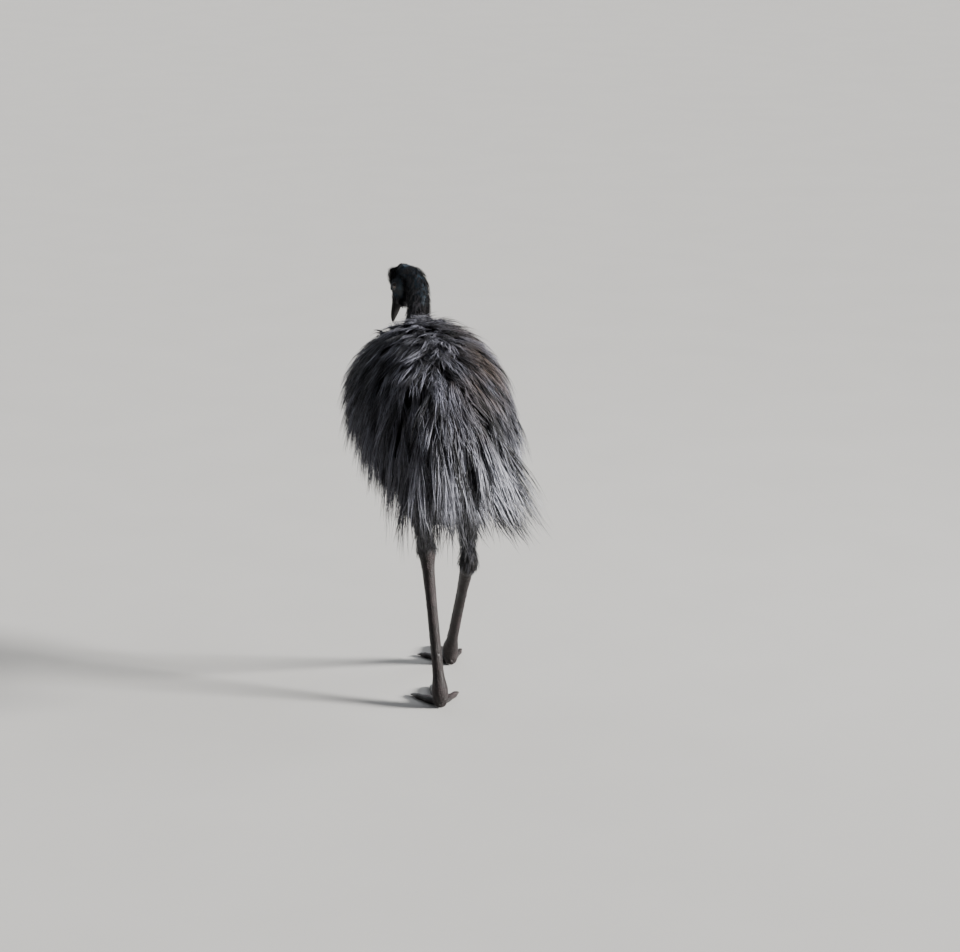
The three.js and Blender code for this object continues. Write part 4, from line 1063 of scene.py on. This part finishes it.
# Thigh and shank feathers
# The thighs carry the same coat, and short close feathers run down each shank to just above the hock,
# where the scales begin.
random = np.random.default_rng(23)
for leg_name, leg in LEGS.items():
    leg_shares, leg_angles = [], []
    distance = -0.340
    while distance < -0.006:
        share = leg["hock_share"] + distance / leg["length"]
        wide, high = leg_radius(leg, np.array(share), 1.0)
        pitch = blend_of(0.0075, 0.013, float(rise(-distance, 0.03, 0.25)))
        number = int(math.pi * float(wide + high) / pitch)
        leg_angles.append((np.arange(number) + random.random()) / number * 2 * math.pi)
        leg_shares.append(np.full(number, share))
        distance += pitch * 1.1
    share, angle = np.concatenate(leg_shares), np.concatenate(leg_angles)
    above = rise((leg["hock_share"] - share) * leg["length"], 0.02, 0.26)
    length = blend_of(0.030, 0.088, above) * (1 + 0.2 * random.uniform(-1, 1, len(share)))
    tip = blend_of(0.0085, 0.018, above) * random.uniform(0.3, 1.2, len(share))
    paths, outs = [], []
    for t in np.linspace(0, 1, 7):
        at = np.clip(share + length * t / leg["length"], 0.001, 0.999)
        centre, across, up = frame_along(leg["curve"], at, LEG_FRONT)
        wide, high = leg_radius(leg, at)
        ring = across * (wide * np.sin(angle))[:, None] + up * (high * np.cos(angle))[:, None]
        out = unit(across * (high * np.sin(angle))[:, None] + up * (wide * np.cos(angle))[:, None])
        point = centre + ring + out * blend_of(-0.003, tip, t**0.8)[:, None]
        paths.append(point)
        outs.append(out)
    paths, outs = np.stack(paths, 1), np.stack(outs, 1)
    places = on_sheet(angle / (2 * math.pi), share)
    piece = feather_mesh(
        f"shank_feathers_{leg_name}", paths, outs, places, random, strands=5,
        spread=blend_of(0.0045, 0.011, above), width=blend_of(0.0008, 0.0014, above),
        shortest=0.6, rings=4, wave=0.002)
    dress(piece, coat_look)


# Crown and face bristles
# The crown and nape carry stiff black hair-like feathers that stand up a little and point back, and very
# short ones grow over the cheeks.
random = np.random.default_rng(311)
CROWN_ROOTS = 1520
THROAT_ROOTS = 560
x = np.concatenate([random.uniform(-0.004, 0.105, CROWN_ROOTS), random.uniform(0.030, 0.104, THROAT_ROOTS)])
spread_angle = np.clip(random.normal(0, 0.95, CROWN_ROOTS), -2.6, 2.6)
spread_angle = np.concatenate([spread_angle, math.pi + random.uniform(-0.95, 0.95, THROAT_ROOTS)])
wide, high, low = head_sizes((x + 0.004) / (HEAD_LENGTH + 0.008))
over = np.cos(spread_angle)
tall = np.where(over > 0, high, low)
local_root = np.stack([x, wide * np.sin(spread_angle), tall * over], 1)
local_out = unit(np.stack([0 * x, np.sin(spread_angle) / wide, over / tall], 1))
by_eye = np.hypot((x - EYE[0]) / 0.019, (local_root[:, 2] - EYE[2]) / 0.015) < 1
by_eye &= np.abs(local_root[:, 1]) > 0.012
by_ear = np.hypot((x - EAR[0]) / 0.008, (local_root[:, 2] - EAR[2]) / 0.009) < 1
by_ear &= np.abs(local_root[:, 1]) > 0.02
keep = ~by_eye & ~by_ear
x, spread_angle, local_root, local_out = x[keep], spread_angle[keep], local_root[keep], local_out[keep]
crest = (1 - rise(np.abs(spread_angle), 0.7, 1.5)) * (1 - 0.75 * rise(x, 0.06, 0.098))
brow = rise(x, 0.012, 0.050)
length = blend_of(0.007, blend_of(0.009, 0.032, brow), crest) * (1 + 0.25 * random.uniform(-1, 1, len(x)))
hanging = 1 - rise(np.abs(np.abs(spread_angle) - math.pi), 0.55, 1.0)
length = blend_of(length, 0.024, hanging)
stand = blend_of(blend_of(0.0015, blend_of(0.004, 0.015, brow), crest), 0.016, hanging)
stand = stand * random.uniform(0.5, 1.3, len(x))
way = blend_of(-0.85 * rise(x, -0.012, 0.030), 0.55, hanging)
paths = []
for t in np.linspace(0, 1, 6):
    point = local_root + local_out * blend_of(-0.004, stand, math.sin(1.9 * t))[:, None]
    point = point + np.array([1.0, 0, 0]) * (way * length * t)[:, None]
    paths.append(in_head(point))
paths = np.stack(paths, 1)
outs = np.repeat((local_out @ HEAD_FRAME)[:, None], 6, 1)
round_share = np.mod(spread_angle + math.pi, 2 * math.pi) / (2 * math.pi)
places = np.stack([0.03 + 0.93 * round_share, 0.04 + 0.92 * (x + 0.02) / 0.125], 1)
piece = feather_mesh(
    "crown_bristles", paths, outs, places, random, strands=3,
    spread=blend_of(0.0015, 0.004, np.maximum(crest, hanging)),
    width=blend_of(0.00035, 0.0007, np.maximum(crest, hanging)), shortest=0.6, rings=4, wave=0.001)
dress(piece, neck_look)


# Bill
# The bill is broad at its root and flattened, of smooth dark horn, with a ridge along the top, a long slit
# nostril on each side and a blunt hooked end. The lower half is a shallow trough that closes under it.
BILL_START = HEAD_LENGTH + 0.0003
BILL_LENGTH = 0.062


def bill_half(upper):
    share = np.linspace(0, 1, 70)[:, None] ** 0.85
    x = BILL_START + (BILL_LENGTH + (0 if upper else -0.004)) * share
    full = np.sqrt(np.maximum(1 - share**3.0, 0.004))
    wide = (blend_of(0.019, 0.0125, share) if upper else blend_of(0.0175, 0.0112, share)) * full
    tall = (blend_of(0.017, 0.0100, share**0.8) if upper else blend_of(0.0110, 0.006, share)) * full
    middle = MOUTH_Z - 0.003 * ((x - BILL_START) / BILL_LENGTH) ** 2 + (0.0003 if upper else 0.0008)
    over = np.linspace(0, math.pi, 41)[None]
    ridge = 1 + 0.06 * np.exp(-((over - math.pi / 2) / 0.22) ** 2) if upper else 1.0
    y = wide * np.cos(over)
    z = middle + (1 if upper else -1) * tall * np.maximum(np.sin(over), 0) ** 0.9 * ridge
    if upper:
        slit = np.hypot((x - BILL_START - 0.023) / 0.0095, (z - middle - 0.0088 + 0 * y) / 0.0026)
        y = y - np.sign(y) * 0.0036 * (1 - rise(slit, 0.35, 1.0)) * (np.abs(y) > 0.004)
    return closed_loft(in_head(np.stack([x + 0 * over, y, z], -1)))


def horny_look(name, scale, detail, roughness, stops):
    """A material mottled by a noise through a ramp, and rougher where the noise is high"""
    material, tree, shader = plain_material(name)
    mottle = texture_in(tree, "ShaderNodeTexNoise", Scale=scale, Detail=detail)
    tree.links.new(colour_ramp(tree, stops, mottle.outputs["Fac"]), shader.inputs["Base Color"])
    rough = range_of(tree, mottle.outputs["Fac"], 0.3, 0.7, *roughness)
    tree.links.new(rough, shader.inputs["Roughness"])
    return material, tree, shader, mottle


horn, tree, shader, _ = horny_look("bill_horn", 70.0, 6.0, (0.46, 0.66), [
    (0.30, (0.0025, 0.0023, 0.0024)),
    (0.55, (0.0065, 0.0058, 0.0056)),
    (0.75, (0.0190, 0.0168, 0.0156)),
])
shader.inputs["Specular IOR Level"].default_value = 0.14
growth = texture_in(tree, "ShaderNodeTexNoise", Scale=260.0, Detail=3.0)
bump_from(tree, shader, growth.outputs["Fac"], 0.25, 0.0006)
for half_name, upper in (("bill_upper", True), ("bill_lower", False)):
    points, faces = bill_half(upper)
    half = piece_of(half_name + "_horn", points + STANCE, faces)
    half.data.materials.append(horn)
    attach(half, "root")
    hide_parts(half_name)


# Eyes and lids
# Each eye is a wet ball with a brown iris round a black pupil. Thin dark lids close round it, the upper
# one heavier, and lie on the ball.
wet, tree, shader = plain_material("wet_eye")
gaze_at = node_in(tree, "ShaderNodeAttribute", attribute_name="from_pupil")
fibres = texture_in(tree, "ShaderNodeTexNoise", Scale=900.0, Detail=3.0)
iris = colour_ramp(tree, [
    (0.00, (0.002, 0.002, 0.002)),
    (0.245, (0.002, 0.002, 0.002)),
    (0.265, (0.018, 0.0075, 0.004)),
    (0.40, (0.048, 0.020, 0.008)),
    (0.505, (0.014, 0.006, 0.004)),
    (0.53, (0.006, 0.005, 0.005)),
], gaze_at.outputs["Fac"])
shade = range_of(tree, fibres.outputs["Fac"], 0.3, 0.7, 0.6, 1.4)
tree.links.new(mix_colour(tree, 1.0, iris, shade, "MULTIPLY"), shader.inputs["Base Color"])
shader.inputs["Roughness"].default_value = 0.12
shader.inputs["Coat Weight"].default_value = 1.0
shader.inputs["Coat Roughness"].default_value = 0.02
lid_look, tree, shader = plain_material("lid_skin")
grain = texture_in(tree, "ShaderNodeTexNoise", Scale=420.0, Detail=4.0)
tree.links.new(colour_ramp(tree, [
    (0.35, (0.008, 0.009, 0.011)),
    (0.70, (0.040, 0.055, 0.066)),
], grain.outputs["Fac"]), shader.inputs["Base Color"])
bump_from(tree, shader, grain.outputs["Fac"], 0.5, 0.0005)
shader.inputs["Roughness"].default_value = 0.42
for hand_name, hand in (("left", 1), ("right", -1)):
    centre = EYE * [1, hand, 1]
    polar = np.linspace(0.01, math.pi - 0.01, 40)[:, None]
    turn = np.linspace(0, 2 * math.pi, 56, endpoint=False)[None]
    bulge = 1 + 0.045 * np.exp(-((polar / 0.42) ** 2))
    rings = np.stack([
        np.sin(polar) * np.cos(turn),
        hand * np.cos(polar) * bulge + 0 * turn,
        np.sin(polar) * np.sin(turn),
    ], -1) * EYE_RADIUS + centre
    points, faces = closed_loft(in_head(rings))
    eye = piece_of(f"eyeball_{hand_name}", points + STANCE, faces)
    away = (to_head(points) - centre) / EYE_RADIUS
    from_pupil = np.where(away[:, 1] * hand > 0, np.hypot(away[:, 0], away[:, 2]), 1.0)
    point_values(eye.data, "from_pupil", from_pupil)
    eye.data.materials.append(wet)
    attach(eye, "root")
    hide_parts(f"eye_{hand_name}")
    turn = np.linspace(0, 2 * math.pi, 97)[:-1]
    x = centre[0] + LID_HALF[0] * 0.99 * np.cos(turn)
    z = centre[2] + LID_HALF[1] * 0.99 * np.sin(turn)
    fall = (x - centre[0]) ** 2 + (z - centre[2]) ** 2
    depth = EYE[1] + np.sqrt((EYE_RADIUS + 0.0004) ** 2 - fall)
    rim = np.stack([x, hand * depth, z], 1)
    way = unit(np.roll(rim, -1, 0) - np.roll(rim, 1, 0))
    outward = unit(rim - centre)
    sideways = np.cross(way, outward)
    heavy = 0.0015 + 0.0008 * np.maximum(np.sin(turn), 0)
    section = np.linspace(0, 2 * math.pi, 14, endpoint=False)
    ring = rim[:, None] + heavy[:, None, None] * (
        outward[:, None] * 0.8 * np.cos(section)[None, :, None]
        + sideways[:, None] * np.sin(section)[None, :, None])
    rows, sides = ring.shape[:2]
    i = np.arange(rows)[:, None]
    j = np.arange(sides)[None]
    faces = np.stack([i * sides + j, i * sides + (j + 1) % sides,
                      (i + 1) % rows * sides + (j + 1) % sides, (i + 1) % rows * sides + j], -1)
    faces = faces.reshape(-1, 4)
    points = in_head(ring.reshape(-1, 3))
    a, b, c = [points[faces[:, k]] - in_head(centre) for k in range(3)]
    if np.einsum("ij,ij->", a, np.cross(b, c)) < 0:
        faces = faces[:, ::-1]
    lid = piece_of(f"lids_{hand_name}", points + STANCE, [faces])
    lid.data.materials.append(lid_look)
    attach(lid, "root")


# Scutes
# Broad horny plates lie one over the next down the front of each tarsus and along the top of each toe. The
# fine net of small scales round them is in the skin itself.
PLATE_REACH = math.radians(62)
plate_turn = np.linspace(-1, 1, 9)[None] * PLATE_REACH
plate_down = np.linspace(-0.56, 0.62, 4)[:, None]
plate_out = 0.985 + 0.050 * (plate_down + 0.5) - 0.05 * (plate_turn / PLATE_REACH) ** 4
outer = np.stack([
    plate_out * np.sin(plate_turn),
    plate_out * np.cos(plate_turn),
    plate_down + 0 * plate_turn,
], -1)
inner = outer * np.array([0.9, 0.9, 1.0])
plate = piece_of("scute_plate", *closed_loft(np.concatenate([outer, inner[:, ::-1]], 1)))

tree = bpy.data.node_groups.new("scute_rows", "GeometryNodeTree")
tree.interface.new_socket("Geometry", in_out="INPUT", socket_type="NodeSocketGeometry")
tree.interface.new_socket("Plate", in_out="INPUT", socket_type="NodeSocketObject")
tree.interface.new_socket("Variation", in_out="INPUT", socket_type="NodeSocketFloat")
tree.interface.new_socket("Seed", in_out="INPUT", socket_type="NodeSocketInt")
tree.interface.new_socket("Material", in_out="INPUT", socket_type="NodeSocketMaterial")
tree.interface.new_socket("Geometry", in_out="OUTPUT", socket_type="NodeSocketGeometry")
given = tree.nodes.new("NodeGroupInput")
result = tree.nodes.new("NodeGroupOutput")
dots = tree.nodes.new("GeometryNodeMeshToPoints")
tree.links.new(given.outputs["Geometry"], dots.inputs["Mesh"])
shape = tree.nodes.new("GeometryNodeObjectInfo")
tree.links.new(given.outputs["Plate"], shape.inputs["Object"])
turning = tree.nodes.new("GeometryNodeInputNamedAttribute")
turning.data_type = "FLOAT_VECTOR"
turning.inputs["Name"].default_value = "turning"
measure = tree.nodes.new("GeometryNodeInputNamedAttribute")
measure.data_type = "FLOAT_VECTOR"
measure.inputs["Name"].default_value = "measure"
chance = tree.nodes.new("FunctionNodeRandomValue")
chance.data_type = "FLOAT"
tree.links.new(math_of(tree, "SUBTRACT", 1.0, given.outputs["Variation"]), chance.inputs[2])
tree.links.new(math_of(tree, "ADD", 1.0, given.outputs["Variation"]), chance.inputs[3])
tree.links.new(given.outputs["Seed"], chance.inputs["Seed"])
sized = tree.nodes.new("ShaderNodeVectorMath")
sized.operation = "SCALE"
tree.links.new(measure.outputs["Attribute"], sized.inputs[0])
tree.links.new(chance.outputs[1], sized.inputs["Scale"])
place_on = tree.nodes.new("GeometryNodeInstanceOnPoints")
tree.links.new(dots.outputs["Points"], place_on.inputs["Points"])
tree.links.new(shape.outputs["Geometry"], place_on.inputs["Instance"])
euler = tree.nodes.new("FunctionNodeEulerToRotation")
tree.links.new(turning.outputs["Attribute"], euler.inputs[0])
tree.links.new(euler.outputs[0], place_on.inputs["Rotation"])
tree.links.new(sized.outputs[0], place_on.inputs["Scale"])
made = tree.nodes.new("GeometryNodeRealizeInstances")
tree.links.new(place_on.outputs["Instances"], made.inputs[0])
painted = tree.nodes.new("GeometryNodeSetMaterial")
tree.links.new(made.outputs[0], painted.inputs["Geometry"])
tree.links.new(given.outputs["Material"], painted.inputs["Material"])
tree.links.new(painted.outputs["Geometry"], result.inputs["Geometry"])
scute_tree = tree

scute_look, tree, shader, _ = horny_look("leg_scute", 38.0, 5.0, (0.38, 0.6), [
    (0.32, (0.0060, 0.0040, 0.0041)),
    (0.52, (0.0180, 0.0118, 0.0118)),
    (0.72, (0.0520, 0.0385, 0.0395)),
])
fine = texture_in(tree, "ShaderNodeTexNoise", Scale=520.0, Detail=3.0)
bump_from(tree, shader, fine.outputs["Fac"], 0.4, 0.0005)


def plate_on(point, along, front, half, tall):
    """A plate's place, turning and measure, facing a front and pointing along a limb"""
    out = unit(front - along * (front @ along))
    turned = Matrix(np.stack([np.cross(out, along), out, along], 1).tolist())
    return point, list(turned.to_euler()), [half, half, tall]


for leg_name, leg in LEGS.items():
    plates = []
    for distance in np.arange(0.034, TARSUS_LENGTH - 0.046, 0.0078):
        share = leg["hock_share"] + distance / leg["length"]
        point, along = along_curve(leg["curve"], np.array(share))
        _, high = leg_radius(leg, np.array(share))
        plates.append(plate_on(point, along, np.array([0, -1.0, 0.1]), float(high) * 0.99, 0.0092))
    for toe_name, toe in TOES.items():
        curve = toe_curve(leg, toe)
        for share in np.arange(0.26, 0.97, 0.0062 / toe["length"]):
            point, along = along_curve(curve, np.array(share))
            wide, high, _ = toe_sizes(toe_name, toe, share)
            half = float(wide + high) / 2 * 0.985
            plates.append(plate_on(point, along, np.array([0, 0, 1.0]), half, 0.0074))
    spots, turns, measures = zip(*plates)
    rows = bpy.data.objects.new(f"scutes_{leg_name}", bpy.data.meshes.new(f"scutes_{leg_name}"))
    scene.collection.objects.link(rows)
    rows.data.from_pydata((np.array(spots) + STANCE).tolist(), [], [])
    for name, values in (("turning", turns), ("measure", measures)):
        layer = rows.data.attributes.new(name, "FLOAT_VECTOR", "POINT")
        layer.data.foreach_set("vector", np.array(values, np.float32).ravel())
    rows.data.update()
    maker = rows.modifiers.new("rows", "NODES")
    maker.node_group = scute_tree
    chosen = {"Plate": plate, "Variation": 0.03, "Seed": 5, "Material": scute_look}
    for item in scute_tree.interface.items_tree:
        if item.item_type == "SOCKET" and item.in_out == "INPUT" and item.name in chosen:
            maker[item.identifier] = chosen[item.name]
    evaluated = rows.evaluated_get(bpy.context.evaluated_depsgraph_get())
    made_mesh = bpy.data.meshes.new_from_object(evaluated)
    rows.modifiers.clear()
    rows.data = made_mesh
    made_mesh.polygons.foreach_set("use_smooth", np.ones(len(made_mesh.polygons), bool))
    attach(rows, "root")
bpy.data.objects.remove(plate)


# Claws
# Each toe ends in a blunt black claw of worn horn, a little arched, with a fine noisy grain in its surface.
claw_look, tree, shader, worn = horny_look("claw_horn", 120.0, 5.0, (0.3, 0.55), [
    (0.35, (0.010, 0.009, 0.008)),
    (0.60, (0.030, 0.026, 0.023)),
    (0.80, (0.095, 0.083, 0.072)),
])
bump_from(tree, shader, worn.outputs["Fac"], 0.4, 0.0006)
for leg_name, leg in LEGS.items():
    for toe_name, toe in TOES.items():
        curve = toe_curve(leg, toe)
        tip, way = along_curve(curve, np.array(1.0))
        end = tip + way * toe["claw"]
        end[2] = 0.003
        arch = tip + way * toe["claw"] * 0.35 + np.array([0, 0, 0.0015])
        claw_curve = curve_through([tip - 0.007 * way, arch, end])[0]
        shares = np.linspace(0, 1, 28)
        wide = toe["wide"] * 0.6 * (1 - shares**1.5) + 0.0009
        rings = limb_rings(claw_curve, shares, (wide, wide * 0.92, wide * 0.8), TOE_TOP, 24)
        rings[..., 2] = np.maximum(rings[..., 2], 0.0)
        points, faces = closed_loft(rings)
        claw = piece_of(f"claw_{toe_name}_{leg_name}_horn", points + STANCE, faces)
        claw.data.materials.append(claw_look)
        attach(claw, "root")
        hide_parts(f"claw_{toe_name}_{leg_name}")
